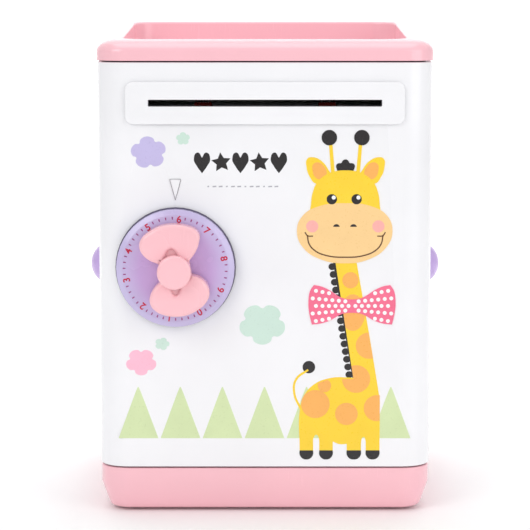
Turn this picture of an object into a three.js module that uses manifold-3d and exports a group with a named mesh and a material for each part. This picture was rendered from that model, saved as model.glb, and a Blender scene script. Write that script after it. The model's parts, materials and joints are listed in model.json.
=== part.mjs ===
// A toy safe coin bank: a white box with a pink lid and base, a hinged front with a note slot, a
// combination dial, a bow-shaped handle that throws the bolt, and a motor unit that draws notes in.
// Millimetres, +Z up, the front faces -Y and the origin is the middle of the bottom of the bounding box.
import * as THREE from "three";
import { mergeVertices } from "three/addons/utils/BufferGeometryUtils.js";
import Module from "manifold-3d";

const wasm = await Module();
wasm.setup();

// ---- driving dimensions ---------------------------------------------------------------------------
const gap = 0.3; // clearance between pieces that touch
const fitGap = 0.3; // radial clearance of a shaft or a screw in its hole

const bodyWidth = 136;
const bodyDepth = 124;
const bodyHeight = 166;
const bodyCorner = 12; // radius of the upright corners
const cornerSteps = 5; // flats in a quarter turn of them
const wall = 2.4;
const doorDepth = 18; // how far the door wraps round the sides

const footRadius = 6;
const footHeight = 2.4;
const footProud = 1; // how far a foot stands out of the base
const baseHeight = 17.9;
const baseFloor = 3.2;
const baseTaperTop = 10.7; // height over the base's underside where its sides start to lean in
const baseTaper = 3;
const baseRound = 3;
const sillLap = 4; // how far the base's top strip under the door runs in under the case

const lidOverhang = 0.4;
const lidSkirt = 3.5; // upright part of the lid's side
const lidRoundHeight = 4.5;
const lidRoundWidth = 9;
const lidRise = 6; // how much higher the rim is at the back than at the front
const lidFloor = 2.2;
const lidWall = 2.2;
const trayLip = 1.2;
const trayCorner = 10; // radius of the sunk tray's upright corners

const coinSlotLength = 34;
const coinSlotWidth = 3.6;
const coinSlotY = 6;
const chuteWall = 1.2;
const chuteDrop = 14;

const hingeBead = 2.6; // radius of the round edge that the door turns on
const hingeSetback = 3.6; // from the hinge axis back to the case's front edge
const hingePinRadius = 1;
const hingePinDepth = 9;

const slotWidth = 94;
const slotHeight = 2.7;
const slotDrop = 16.3; // below the top of the door
const bezelWidth = 112.4;
const bezelHeight = 17;
const bezelCorner = 3.2;
const bezelProud = 1.2;
const sleeveWall = 1.2;

const dialX = -36.2;
const dialRadius = 23.9;
const dialThickness = 4.6;
const dialBevel = 1.1;
const dialRingRadius = 24.4;
const dialRingThickness = 0.8;
const hubRadius = 6;
const knobShaftRadius = 3;
const bowLength = 37;
const bowWidth = 24;
const bowNeck = 12;
const bowThickness = 9;
const bowTilt = THREE.MathUtils.degToRad(10.5);
const knotRadius = 6.8;
const knotHeight = 3.6;
const pointerWidth = 4.8;
const pointerHeight = 8.7;
const pointerGap = 3.2; // from the dial's rim to the pointer's tip
const pointerProud = 0.35;

const wheelRadius = 14;
const wheelThickness = 2;
const wheelGateWidth = 4.6;
const wheelGateDepth = 3;
const lockWall = 1.6;
const crankRadius = 5;
const crankPinRadius = 1.5;
const boltTravel = 5;
const boltHeight = 12;
const boltThickness = 1.8;
const strikeThickness = 1.2;

const rollerX = 25.3;
const rollerWidth = 7;
const driveRollerRadius = 6.9;
const pinchRollerRadius = 5.1;
const nip = 0.6; // between the two rollers of a pair
const feedShaftRadius = 1.5;
const pinchShaftRadius = 1.2;
const cheekX = 52; // inner face of the feed frame's cheeks
const cheekThickness = 2.5;
const feedSetback = 14; // from the door's face to the feed shaft
const gearModule = 0.8;
const driveTeeth = 20;
const idlerLargeTeeth = 24;
const idlerSmallTeeth = 10;
const pinionTeeth = 10;
const gearWidth = 3;
const idlerSetback = 2.5; // the idler's axis behind the feed shaft's
const motorRadius = 10;
const motorFlat = 7.6;
const motorLength = 25;

const cellRadius = 7.1;
const cellLength = 50;
const cellPitch = 15.2;
const boxWall = 1.6;
const batteryX = 26;
const batteryDrop = 94; // below the top of the door, to the middle cell
const coverThickness = 1.5;

const sideCapRadius = 9.2;
const sideCapProud = 7;
const sideCapStud = 3;

const screwHeadRadius = 2.7;
const screwHeadHeight = 1.5;
const screwRadius = 1.2;
const bossRadius = 2.9;
const speakerShare = 0.32; // the speaker's radius against the height left under the lock

// ---- places worked out from them --------------------------------------------------------------------
const baseBottom = footProud;
const baseTop = baseBottom + baseHeight;
const caseBottom = baseTop + gap;
const caseTop = caseBottom + bodyHeight;
const lidBottom = caseTop + gap;
const crest = lidBottom + lidSkirt + lidRoundHeight;
const front = -bodyDepth / 2;
const back = bodyDepth / 2;
const side = bodyWidth / 2;
const caseFront = front + doorDepth;
const doorBack = caseFront - gap;
const doorBottom = caseBottom + gap;
const doorTop = caseTop - gap;
const plateBack = front + wall; // inner face of the door's front
const hingeX = side - hingeBead;
const hingeY = caseFront - hingeSetback;
const slotZ = doorTop - slotDrop;
const dialZ = caseBottom + bodyHeight / 2;
const channelTop = lidBottom + lidSkirt + lidRoundHeight - lidWall; // inside of the lid's hollow rim
const lidHalfX = side + lidOverhang;
const lidHalfY = back + lidOverhang;

// ---- shapes -------------------------------------------------------------------------------------------
function solidOf(geometry) {
  const bare = geometry.index ? geometry.toNonIndexed() : geometry.clone();
  bare.deleteAttribute("normal");
  bare.deleteAttribute("uv");
  const merged = mergeVertices(bare, 1e-4);
  const triVerts = new Uint32Array(merged.index.array);
  const vertProperties = merged.attributes.position.array;
  const solid = new wasm.Manifold(new wasm.Mesh({ numProp: 3, vertProperties, triVerts }));
  if (solid.volume() > 0) return solid;
  for (let i = 0; i < triVerts.length; i += 3) {
    [triVerts[i + 1], triVerts[i + 2]] = [triVerts[i + 2], triVerts[i + 1]];
  }
  return new wasm.Manifold(new wasm.Mesh({ numProp: 3, vertProperties, triVerts }));
}

function geometryOf(solid) {
  const mesh = solid.getMesh();
  const geometry = new THREE.BufferGeometry();
  geometry.setAttribute("position", new THREE.BufferAttribute(mesh.vertProperties, 3));
  geometry.setIndex(new THREE.BufferAttribute(mesh.triVerts, 1));
  geometry.computeVertexNormals();
  return geometry;
}

const join = (...solids) => solids.reduce((sum, each) => sum.add(each));
const cut = (solid, ...holes) => holes.reduce((left, each) => left.subtract(each), solid);

function block(x0, x1, y0, y1, z0, z1) {
  const geometry = new THREE.BoxGeometry(x1 - x0, y1 - y0, z1 - z0);
  return solidOf(geometry.translate((x0 + x1) / 2, (y0 + y1) / 2, (z0 + z1) / 2));
}

// A round bar between two points of one axis; the other two coordinates place it.
function rodX(radius, x0, x1, y, z, sides = 16) {
  const bar = new THREE.CylinderGeometry(radius, radius, x1 - x0, sides).rotateZ(-Math.PI / 2);
  return solidOf(bar.translate((x0 + x1) / 2, y, z));
}

function rodY(radius, y0, y1, x, z, sides = 16) {
  const bar = new THREE.CylinderGeometry(radius, radius, y1 - y0, sides);
  return solidOf(bar.translate(x, (y0 + y1) / 2, z));
}

function rodZ(radius, z0, z1, x, y, sides = 16) {
  const bar = new THREE.CylinderGeometry(radius, radius, z1 - z0, sides).rotateX(Math.PI / 2);
  return solidOf(bar.translate(x, y, (z0 + z1) / 2));
}

// A turned shape: profile holds [radius, height] pairs, and its axis is Y.
function turned(profile, sides = 24) {
  return new THREE.LatheGeometry(profile.map(([r, h]) => new THREE.Vector2(r, h)), sides);
}

function rectangle(halfWidth, halfHeight, corner) {
  const shape = new THREE.Shape();
  const x = halfWidth - corner;
  const y = halfHeight - corner;
  shape.absarc(x, y, corner, 0, Math.PI / 2);
  shape.absarc(-x, y, corner, Math.PI / 2, Math.PI);
  shape.absarc(-x, -y, corner, Math.PI, 1.5 * Math.PI);
  shape.absarc(x, -y, corner, 1.5 * Math.PI, 2 * Math.PI);
  return shape;
}

// An outline drawn in X and Z, extruded towards the front from y0 by depth.
function frontPlate(shape, y0, depth, curveSegments = 6) {
  const geometry = new THREE.ExtrudeGeometry(shape, { depth, bevelEnabled: false, curveSegments });
  return solidOf(geometry.rotateX(Math.PI / 2).translate(0, y0, 0));
}

// One level of a stack: the body's rounded plan, smaller by inset, at height z. lean raises its back.
function level(halfX, halfY, corner, inset, z, lean = 0) {
  const radius = Math.max(corner - inset, 1);
  const points = rectangle(halfX - inset, halfY - inset, radius).getPoints(cornerSteps).slice(0, -1);
  return points.map(({ x, y }) => new THREE.Vector3(x, y, z + (lean * (y + halfY)) / (2 * halfY)));
}

// The closed skin over a stack of levels with the same number of points.
function stacked(levels) {
  const count = levels[0].length;
  const index = [];
  for (let k = 0; k + 1 < levels.length; k++) {
    for (let i = 0; i < count; i++) {
      const low = k * count;
      const high = low + count;
      const next = (i + 1) % count;
      index.push(low + i, low + next, high + next, low + i, high + next, high + i);
    }
  }
  const top = (levels.length - 1) * count;
  for (let i = 1; i + 1 < count; i++) {
    index.push(0, i + 1, i, top, top + i, top + i + 1);
  }
  const geometry = new THREE.BufferGeometry().setFromPoints(levels.flat());
  return solidOf(geometry.setIndex(index));
}

const bodyLevel = (inset, z) => level(side, back, bodyCorner, inset, z);
const lidLevel = (inset, z, lean) => level(lidHalfX, lidHalfY, bodyCorner, inset, z, lean);
const trayInset = lidRoundWidth + trayLip;
const trayLevel = (spread, z, lean) =>
  level(lidHalfX, lidHalfY, trayCorner + trayInset, trayInset - spread, z, lean);

// Turns a piece made about Z so that its axis is X, its +X is +Y and its +Y is +Z.
const ontoX = new THREE.Matrix4().makeBasis(
  new THREE.Vector3(0, 1, 0),
  new THREE.Vector3(0, 0, 1),
  new THREE.Vector3(1, 0, 0),
);

// A spur gear about X between x0 and x0 + width. One tooth points at the angle phase, from +Y to +Z.
function gear(teeth, x0, width, phase) {
  const pitch = (gearModule * teeth) / 2;
  const root = pitch - 1.2 * gearModule;
  const tip = pitch + 0.85 * gearModule;
  const step = (2 * Math.PI) / teeth;
  const corners = [];
  for (let i = 0; i < teeth; i++) {
    const flank = [[root, -0.33], [tip, -0.12], [tip, 0.12], [root, 0.33]];
    for (const [radius, share] of flank) {
      const angle = phase + (i + share) * step;
      corners.push(new THREE.Vector2(radius * Math.cos(angle), radius * Math.sin(angle)));
    }
  }
  const shape = new THREE.Shape(corners);
  const blank = new THREE.ExtrudeGeometry(shape, { depth: width, bevelEnabled: false });
  return solidOf(blank.applyMatrix4(ontoX).translate(x0, 0, 0));
}

// ---- materials ----------------------------------------------------------------------------------------
const plastic = (color, roughness = 0.3) =>
  new THREE.MeshStandardMaterial({ color, roughness, metalness: 0 });
const metal = (color, roughness = 0.35) =>
  new THREE.MeshStandardMaterial({ color, roughness, metalness: 1 });
const material = {
  white: plastic(0xf2f2f5, 0.25),
  pink: plastic(0xf9c5d2, 0.28),
  lavender: plastic(0xc6aee2, 0.3),
  ring: plastic(0x5f5570, 0.4),
  black: plastic(0x2a2a2e, 0.5),
  inner: plastic(0xdcdce2, 0.45),
  rubber: plastic(0x6a6a70, 0.8),
  gear: plastic(0xf4f0e2, 0.4),
  board: plastic(0x2f7a4a, 0.5),
  cell: plastic(0x3b6fb5, 0.35),
  steel: metal(0xb9bcc2),
};

function mesh(name, solid, look, position = [0, 0, 0], rotation = [0, 0, 0]) {
  const made = new THREE.Mesh(geometryOf(solid), look);
  made.name = name;
  made.position.set(...position);
  made.rotation.set(...rotation);
  return made;
}

// A pan-head screw along +Z with the underside of its head at z = 0.
function screw(length) {
  const head = rodZ(screwHeadRadius, -screwHeadHeight, 0, 0, 0, 12);
  return join(head, rodZ(screwRadius, -0.1, length, 0, 0, 8));
}

// ---- base, feet and screws ----------------------------------------------------------------------------
const footPlaces = [[-46, -40], [46, -40], [-46, 40], [46, 40]];
const baseScrewPlaces = [[-30, -34], [30, -34], [-30, 44], [30, 44]];
const counterbore = baseBottom + 8;
const caseBossTop = caseBottom + wall + 3.4;

function baseTray() {
  const outer = stacked([
    bodyLevel(baseTaper + baseRound, baseBottom),
    bodyLevel(baseTaper + 0.3 * baseRound, baseBottom + 0.3 * baseRound),
    bodyLevel(baseTaper, baseBottom + baseRound),
    bodyLevel(gap, baseBottom + baseTaperTop),
    bodyLevel(gap, baseTop),
  ]);
  const inner = stacked([
    bodyLevel(baseTaper + wall + 1, baseBottom + baseFloor),
    bodyLevel(wall + gap, baseBottom + baseTaperTop),
    bodyLevel(wall + gap, baseTop + 1),
  ]);
  let tray = cut(outer, inner);
  for (const [x, y] of baseScrewPlaces) {
    const post = rodZ(screwHeadRadius + 2.4, baseBottom + 1, baseTop, x, y, 24);
    tray = join(tray, post);
    tray = cut(tray, rodZ(screwHeadRadius + 0.4, baseBottom - 1, counterbore, x, y));
    tray = cut(tray, rodZ(screwRadius + fitGap, baseBottom, baseTop + 1, x, y));
  }
  for (const [x, y] of footPlaces) {
    const recess = footHeight - footProud + gap;
    tray = cut(tray, rodZ(footRadius + gap, baseBottom - 1, baseBottom + recess, x, y, 24));
  }
  const sill = block(-side, side, front, caseFront + sillLap, baseTop - wall, baseTop);
  tray = join(tray, sill.intersect(outer));
  const pinSocket = rodZ(bossRadius, baseBottom + 6, baseTop, hingeX - 0.6, hingeY, 16);
  tray = join(tray, pinSocket.intersect(outer));
  return cut(tray, rodZ(hingePinRadius + fitGap, baseTop - hingePinDepth, baseTop + 1, hingeX, hingeY, 12));
}

function foot() {
  return solidOf(
    turned([[0, 0], [footRadius - 0.8, 0], [footRadius, 0.8], [footRadius, footHeight], [0, footHeight]])
      .rotateX(Math.PI / 2),
  );
}

// ---- case: sides, back, floor deck and top deck in one moulding ---------------------------------------
const lidScrewX = lidHalfX - 5.7;
const lidScrewPlaces = [[-lidScrewX, -24], [lidScrewX, -24], [-lidScrewX, 44], [lidScrewX, 44]];
const deckUnder = caseTop - wall;
const channelScrewLength = channelTop - 1.5 - deckUnder;
const chuteX = coinSlotLength / 2 + 1 + chuteWall;
const chuteY = coinSlotWidth / 2 + 1 + chuteWall;
const sideCapZ = caseBottom + 0.463 * bodyHeight;

function caseShell() {
  const outer = stacked([bodyLevel(0, caseBottom), bodyLevel(0, caseTop)]);
  const inner = stacked([bodyLevel(wall, caseBottom + wall), bodyLevel(wall, deckUnder)]);
  const ahead = block(-side - 1, side + 1, front - 1, caseFront, caseBottom - 1, caseTop + 1);
  let shell = cut(outer, inner, ahead);
  for (const [x, y] of baseScrewPlaces) {
    shell = join(shell, rodZ(bossRadius, caseBottom + 1, caseBossTop, x, y, 16));
    shell = cut(shell, rodZ(screwRadius + fitGap, caseBottom - 1, caseBossTop - 1, x, y, 12));
  }
  for (const [x, y] of lidScrewPlaces) {
    shell = cut(shell, rodZ(screwRadius + fitGap, deckUnder - 1, caseTop + 1, x, y, 12));
  }
  const mouth = block(
    -chuteX - gap, chuteX + gap,
    coinSlotY - chuteY - gap, coinSlotY + chuteY + gap,
    deckUnder - 1, caseTop + 1,
  );
  return cut(shell, mouth, rodX(sideCapStud + fitGap, -side - 1, side + 1, 0, sideCapZ));
}

// ---- lid: a rim that rises to the back round a sunk tray with the coin slot ---------------------------
function lidCover() {
  const arc = [0, 0.2, 0.4, 0.6, 0.8, 1].map((share) => (share * Math.PI) / 2);
  const shoulder = arc.map((a) => {
    const inset = lidRoundWidth * (1 - Math.cos(a));
    const height = lidBottom + lidSkirt + lidRoundHeight * Math.sin(a);
    return lidLevel(inset, height, lidRise * (0.35 + 0.65 * Math.sin(a)));
  });
  const outer = stacked([lidLevel(0, lidBottom), ...shoulder]);
  const tray = stacked([
    trayLevel(-1, lidBottom + lidFloor),
    trayLevel(0, lidBottom + lidFloor + 1),
    trayLevel(0, crest - trayLip, lidRise),
    trayLevel(0.3 * trayLip, crest - 0.3 * trayLip, lidRise),
    trayLevel(trayLip, crest, lidRise),
    trayLevel(2 * trayLip, crest + trayLip, lidRise),
  ]);
  const channel = cut(
    stacked([
      lidLevel(lidWall, lidBottom - 1),
      lidLevel(lidWall, lidBottom + lidSkirt - 1),
      lidLevel(2 * lidWall, channelTop, lidRise),
    ]),
    stacked([
      trayLevel(lidWall, lidBottom - 2),
      trayLevel(lidWall, crest + lidRise + 2),
    ]),
  );
  let lid = cut(outer, tray, channel);
  for (const [x, y] of lidScrewPlaces) {
    lid = join(lid, rodZ(bossRadius, lidBottom, channelTop + 0.5, x, y, 16));
    lid = cut(lid, rodZ(screwRadius + fitGap, lidBottom - 1, channelTop - 1, x, y, 12));
  }
  lid = join(lid, rodZ(bossRadius, lidBottom, channelTop, hingeX - 0.6, hingeY, 16).intersect(outer));
  lid = cut(lid, rodZ(hingePinRadius + fitGap, lidBottom - 1, channelTop - 1, hingeX, hingeY, 12));
  return cut(lid, block(
    -coinSlotLength / 2, coinSlotLength / 2,
    coinSlotY - coinSlotWidth / 2, coinSlotY + coinSlotWidth / 2,
    lidBottom - 1, crest,
  ));
}

function coinChute() {
  const bottom = deckUnder - chuteDrop;
  const flange = 5;
  const around = (x, y, z0, z1) => block(-x, x, coinSlotY - y, coinSlotY + y, z0, z1);
  const tube = around(chuteX, chuteY, bottom, caseTop);
  const rim = around(chuteX + flange, chuteY + flange, deckUnder - gap - 1.4, deckUnder - gap);
  return cut(join(tube, rim), around(chuteX - chuteWall, chuteY - chuteWall, bottom - 1, caseTop + 1));
}

// A hollow dome on a stud that goes through the side wall. Its axis is Y, the dome towards +Y.
function sideCap() {
  const sphere = (sideCapRadius ** 2 + sideCapProud ** 2) / (2 * sideCapProud);
  const low = Math.asin((sideCapProud - sphere) / sphere);
  const dome = [0, 1, 2, 3, 4].map((i) => {
    const angle = -low + ((Math.PI / 2 + low) * i) / 4;
    return [sphere * Math.cos(angle), sideCapProud - sphere + sphere * Math.sin(angle)];
  });
  dome[0] = [sideCapRadius, 0];
  dome[4] = [0, sideCapProud];
  const underside = [[0, -wall - 4], [sideCapStud, -wall - 4], [sideCapStud, 0]];
  return turned([...underside, ...dome]);
}

// ---- door: the whole front, wrapped round the sides ---------------------------------------------------
const feedTabX = 45;
const feedTabZ = slotZ - 21;
const lockTop = 24; // the lock case reaches this far over the dial's axis
const lockHalf = wheelRadius + 1.5 + lockWall; // and this far to each side and below
const earReach = 7;
const speakerFloor = doorBottom + wall;
const speakerRoof = dialZ - lockHalf - earReach;
const speakerRadius = speakerShare * (speakerRoof - speakerFloor);
const speakerZ = (speakerFloor + speakerRoof) / 2;
const doorBosses = [
  [-feedTabX, feedTabZ],
  [feedTabX, feedTabZ],
  [dialX, dialZ + lockTop + earReach / 2],
  [dialX, dialZ - lockHalf - earReach / 2],
];
const bossTop = plateBack + 3; // rear end of a boss on the door's inner face
const tabBack = bossTop + gap + 2; // rear face of a tab screwed on to a boss

function doorPanel() {
  const outer = stacked([bodyLevel(0, doorBottom), bodyLevel(0, doorTop)]);
  const inner = stacked([bodyLevel(wall, doorBottom + wall), bodyLevel(wall, doorTop - wall)]);
  const wide = [-side - 1, side + 1];
  let panel = cut(outer, inner, block(...wide, doorBack, back + 1, 0, crest));
  panel = cut(panel, block(hingeX, side + 1, hingeY, doorBack + 1, 0, crest));
  panel = cut(panel, block(hingeX - 4, hingeX + 1, hingeY - 1, doorBack + 1, 0, crest));
  panel = join(panel, rodZ(hingeBead, doorBottom, doorTop, hingeX, hingeY, 28));
  const pinHoles = [[doorBottom - 1, doorBottom + hingePinDepth], [doorTop - hingePinDepth, doorTop + 1]];
  for (const [low, high] of pinHoles) {
    panel = cut(panel, rodZ(hingePinRadius + fitGap, low, high, hingeX, hingeY, 12));
  }
  const sleeveX = slotWidth / 2 + sleeveWall + gap;
  const sleeveZ = slotHeight / 2 + sleeveWall + gap;
  panel = cut(panel, block(-sleeveX, sleeveX, front - 1, plateBack + 1, slotZ - sleeveZ, slotZ + sleeveZ));
  panel = cut(panel, rodY(hubRadius + fitGap, front - 1, plateBack + 1, dialX, dialZ, 28));
  const tip = dialZ + dialRadius + pointerGap;
  const pointer = new THREE.Shape();
  pointer.moveTo(dialX, tip);
  pointer.lineTo(dialX + pointerWidth / 2, tip + pointerHeight);
  pointer.lineTo(dialX - pointerWidth / 2, tip + pointerHeight);
  panel = join(panel, frontPlate(pointer, front + wall / 2, wall / 2 + pointerProud));
  for (const [x, z] of doorBosses) {
    panel = join(panel, rodY(bossRadius, plateBack - 1, bossTop, x, z, 16));
    panel = cut(panel, rodY(screwRadius + fitGap, plateBack - 0.6, bossTop + 1, x, z, 12));
  }
  return panel;
}

function slotBezel() {
  const shape = rectangle(bezelWidth / 2, bezelHeight / 2, bezelCorner);
  const face = frontPlate(shape, front - gap, bezelProud);
  const reach = (extra) => [-slotWidth / 2 - extra, slotWidth / 2 + extra];
  const rise = (extra) => [-slotHeight / 2 - extra, slotHeight / 2 + extra];
  const sleeve = block(...reach(sleeveWall), front - gap - 0.1, plateBack + 0.8, ...rise(sleeveWall));
  const slot = block(...reach(0), front - gap - bezelProud - 1, plateBack + 2, ...rise(0));
  return cut(join(face, sleeve), slot);
}

// ---- feed unit: rollers, gears and motor on a frame behind the slot -----------------------------------
const feedY = front + feedSetback;
const driveZ = slotZ - nip / 2 - driveRollerRadius;
const pinchZ = slotZ + nip / 2 + pinchRollerRadius;
const pitchOf = (teeth) => (gearModule * teeth) / 2;
const idlerY = feedY + idlerSetback;
const driveToIdler = pitchOf(driveTeeth) + pitchOf(idlerSmallTeeth);
const idlerZ = driveZ - Math.sqrt(driveToIdler ** 2 - idlerSetback ** 2);
const pinionZ = idlerZ - pitchOf(idlerLargeTeeth) - pitchOf(pinionTeeth);
const idlerAngle = Math.atan2(idlerZ - driveZ, idlerY - feedY);
const cheekOuter = cheekX + cheekThickness;
const gearInner = cheekOuter + 1; // the pinion and the idler's large gear
const gearOuter = gearInner + gearWidth + 0.5; // the idler's small gear and the drive gear
const gearEnd = gearOuter + gearWidth;
const frameFront = plateBack + gap;
const frameBack = feedY + 9;
const shelfTop = driveZ - driveRollerRadius - 1.2;
const shelfThickness = 2;
const motorX = cheekX - gap;

function feedFrame() {
  const depth = [frameFront, frameBack];
  const tabBottom = feedTabZ - bossRadius - 0.5;
  const left = block(-cheekOuter, -cheekX, ...depth, shelfTop - shelfThickness, pinchZ + 4);
  const right = block(cheekX, cheekOuter, ...depth, pinionZ - motorRadius - 2, pinchZ + 4);
  const shelf = block(-cheekOuter, cheekOuter, ...depth, shelfTop - shelfThickness, shelfTop);
  const cradleTop = pinionZ - motorFlat - gap;
  const cradle = block(cheekX - motorLength, cheekOuter, idlerY - 6, idlerY + 5, cradleTop - 2, cradleTop);
  let frame = join(left, right, shelf, cradle);
  for (const x of [-feedTabX, feedTabX]) {
    const tab = block(x - 4, x + 4, bossTop + gap, tabBack, tabBottom, shelfTop - 1);
    frame = join(frame, tab);
    frame = cut(frame, rodY(screwRadius + fitGap, bossTop, tabBack + 1, x, feedTabZ, 12));
  }
  const across = [-side, side];
  return cut(
    frame,
    rodX(feedShaftRadius + fitGap, ...across, feedY, driveZ),
    rodX(pinchShaftRadius + fitGap, ...across, feedY, pinchZ),
    rodX(feedShaftRadius + fitGap, cheekX - 1, side, idlerY, idlerZ),
    rodX(3 + fitGap, cheekX - 1, side, idlerY, pinionZ),
  );
}

function billGuide() {
  const top = slotZ - slotHeight / 2 - 0.2;
  let guide = block(-cheekX + gap, cheekX - gap, plateBack + 1.2, frameBack, top - 1, top);
  for (const x of [-rollerX, rollerX]) {
    const half = rollerWidth / 2 + 0.6;
    const reach = driveRollerRadius;
    guide = cut(guide, block(x - half, x + half, feedY - reach, feedY + reach, top - 2, top + 1));
  }
  return guide;
}

function roller(radius, shaftRadius) {
  const half = rollerWidth / 2;
  return cut(rodX(radius, -half, half, 0, 0, 32), rodX(shaftRadius + fitGap, -half - 1, half + 1, 0, 0));
}

function driveGear() {
  const bore = rodX(feedShaftRadius + fitGap, 0, side, 0, 0);
  return cut(gear(driveTeeth, gearOuter, gearWidth, idlerAngle), bore);
}

function idlerGear() {
  const smallPhase = idlerAngle + Math.PI + Math.PI / idlerSmallTeeth;
  const large = gear(idlerLargeTeeth, gearInner, gearWidth, -Math.PI / 2);
  const smallStart = gearInner + gearWidth - 0.2;
  const small = gear(idlerSmallTeeth, smallStart, gearEnd - smallStart, smallPhase);
  return cut(join(large, small), rodX(feedShaftRadius + fitGap, 0, side, 0, 0));
}

function motorPinion() {
  const teeth = gear(pinionTeeth, gearInner, gearWidth, Math.PI / 2 + Math.PI / pinionTeeth);
  return join(teeth, rodX(1, motorX - 8, gearInner + gearWidth + 0.5, 0, 0, 12));
}

function motorCan() {
  const can = rodX(motorRadius, motorX - motorLength, motorX, 0, 0, 32);
  const flats = block(-side, side, -motorRadius, motorRadius, -motorFlat, motorFlat);
  const boss = rodX(3, motorX - 1, motorX + 2, 0, 0, 16);
  const endCap = rodX(4, motorX - motorLength - 1.5, motorX - motorLength + 1, 0, 0, 16);
  return cut(join(can.intersect(flats), boss, endCap), rodX(1 + fitGap, motorX - 9, motorX + 3, 0, 0, 12));
}

// ---- electronics and batteries ------------------------------------------------------------------------
const boardWidth = 38;
const boardHeight = 26;
const boardX = 3;
const boardDrop = 37.4; // below the note slot
const boardZ = slotZ - boardDrop;

function circuitBoard() {
  const z = [boardZ - boardHeight / 2, boardZ + boardHeight / 2];
  const y = plateBack + 1.5;
  const board = block(boardX - boardWidth / 2, boardX + boardWidth / 2, y, y + 1.6, ...z);
  const chip = block(boardX - 6, boardX + 6, y + 1.5, y + 4.2, boardZ - 4, boardZ + 4);
  const socket = block(boardX + 9, boardX + 17, y + 1.5, y + 7.5, boardZ - 9, boardZ - 3);
  const capacitor = rodY(3, y + 1.5, y + 9, boardX - 12, boardZ + 5, 20);
  return join(board, chip, socket, capacitor);
}

const cellZ = doorTop - batteryDrop;
const boxHalfX = cellLength / 2 + boxWall + 2;
const boxHalfZ = 1.5 * cellPitch + boxWall;
const boxBack = frameFront + 1 + 2 * cellRadius + 2 * gap + 0.6;
const podWidth = 10;
const switchTravel = 4;
const switchSize = 4;

function batteryBox() {
  const x = [batteryX - boxHalfX, batteryX + boxHalfX];
  const z = [cellZ - boxHalfZ, cellZ + boxHalfZ];
  const outer = block(...x, frameFront, boxBack, ...z);
  const wide = [x[0] + boxWall, x[1] - boxWall];
  const inner = block(...wide, frameFront + 1, boxBack + 1, z[0] + boxWall, z[1] - boxWall);
  const pod = block(x[0] - podWidth, x[0] + 1, frameFront, boxBack - 2, cellZ - 8, cellZ + 8);
  const slotX = x[0] - podWidth / 2;
  const slotHalf = (switchSize + switchTravel) / 2 + gap;
  const tall = [cellZ - slotHalf - 1, cellZ + slotHalf + 1];
  const hollow = block(slotX - 3, slotX + 3, frameFront + 2, boxBack - 3.5, ...tall);
  const half = switchSize / 2 + gap;
  const mouth = block(slotX - half, slotX + half, boxBack - 4, boxBack, cellZ - slotHalf, cellZ + slotHalf);
  return cut(join(outer, pod), inner, hollow, mouth);
}

// The slider stands at the lower end of its slot.
function powerSwitch() {
  const x = batteryX - boxHalfX - podWidth / 2;
  const z = cellZ - switchTravel / 2;
  const half = switchSize / 2;
  const knob = block(x - half, x + half, boxBack - 5, boxBack + 0.5, z - half, z + half);
  const edge = half + 0.6;
  const foot = block(x - edge, x + edge, boxBack - 6, boxBack - 3.8, z - edge, z + edge);
  return join(knob, foot);
}

function cell() {
  const end = cellLength / 2;
  const can = [[0, -end], [cellRadius, -end], [cellRadius, end - 1.4], [cellRadius - 1, end - 1]];
  return solidOf(turned([...can, [2.6, end - 1], [2.6, end], [0, end]]).rotateZ(-Math.PI / 2));
}

function batteryCover() {
  const x = [batteryX - boxHalfX, batteryX + boxHalfX];
  const y = [boxBack + gap, boxBack + gap + coverThickness];
  const cover = block(...x, ...y, cellZ - boxHalfZ, cellZ + boxHalfZ);
  const lipX = boxHalfX - boxWall - gap;
  const lipZ = boxHalfZ - boxWall - gap;
  const lipSpan = [batteryX - lipX, batteryX + lipX];
  const lip = block(...lipSpan, boxBack - 0.3, boxBack + 1, cellZ - lipZ, cellZ + lipZ);
  const notch = rodY(5, boxBack + gap + 0.8, boxBack + 4, batteryX + boxHalfX - 9, cellZ, 20);
  return cut(join(cover, lip), notch);
}

function speaker() {
  const r = speakerRadius;
  const cone = [[0, 0], [r, 0], [r, 2.5], [0.68 * r, 6]];
  const magnet = [[0.5 * r, 6], [0.5 * r, 10], [0, 10]];
  return solidOf(turned([...cone, ...magnet], 32));
}

// ---- dial, handle and lock ----------------------------------------------------------------------------
const ringFront = front - gap - dialRingThickness;
const dialBack = ringFront - gap;
const dialFront = dialBack - dialThickness;
const bowBack = dialFront - 0.8;
const bowFront = bowBack - bowThickness;
const firstWheel = plateBack + 1.1;
const wheelPitch = wheelThickness + 0.6;
const driverFront = firstWheel + 2 * wheelPitch;
const driverBack = driverFront + wheelThickness;
const camFront = driverBack + 1;
const camBack = camFront + 2;
const boltFront = camBack + 0.7;
const boltBack = boltFront + boltThickness;
const lockBack = boltBack + 0.6 + lockWall;
const boltZ = dialZ - 3.5;
const strikeX = -side + wall + 3.4 + strikeThickness; // inner face of the strike's plate
const boltTip = strikeX + 0.8;
const crankRest = THREE.MathUtils.degToRad(30);
const fencePivotX = 11;
const fencePivotZ = 19.5;

// These pieces are made about the dial's axis and placed by their group.
function dialDisc() {
  const bore = knobShaftRadius + fitGap;
  return solidOf(turned([
    [bore, driverBack], [hubRadius, driverBack], [hubRadius, dialBack], [dialRadius, dialBack],
    [dialRadius, dialFront + dialBevel], [dialRadius - 2 * dialBevel, dialFront],
    [bore, dialFront], [bore, driverBack],
  ], 48));
}

function dialRing() {
  return cut(rodY(dialRingRadius, ringFront, ringFront + dialRingThickness, 0, 0, 48),
    rodY(hubRadius + fitGap, front - 9, front, 0, 0, 28));
}

function wheel(y) {
  const disc = rodY(wheelRadius, y, y + wheelThickness, 0, 0, 36);
  const gate = [-wheelGateWidth / 2, wheelGateWidth / 2];
  const floor = wheelRadius - wheelGateDepth;
  const notch = block(...gate, y - 1, y + wheelThickness + 1, floor, wheelRadius + 1);
  return cut(disc, notch, rodY(hubRadius + fitGap, y - 1, y + wheelThickness + 1, 0, 0, 28));
}

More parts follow.
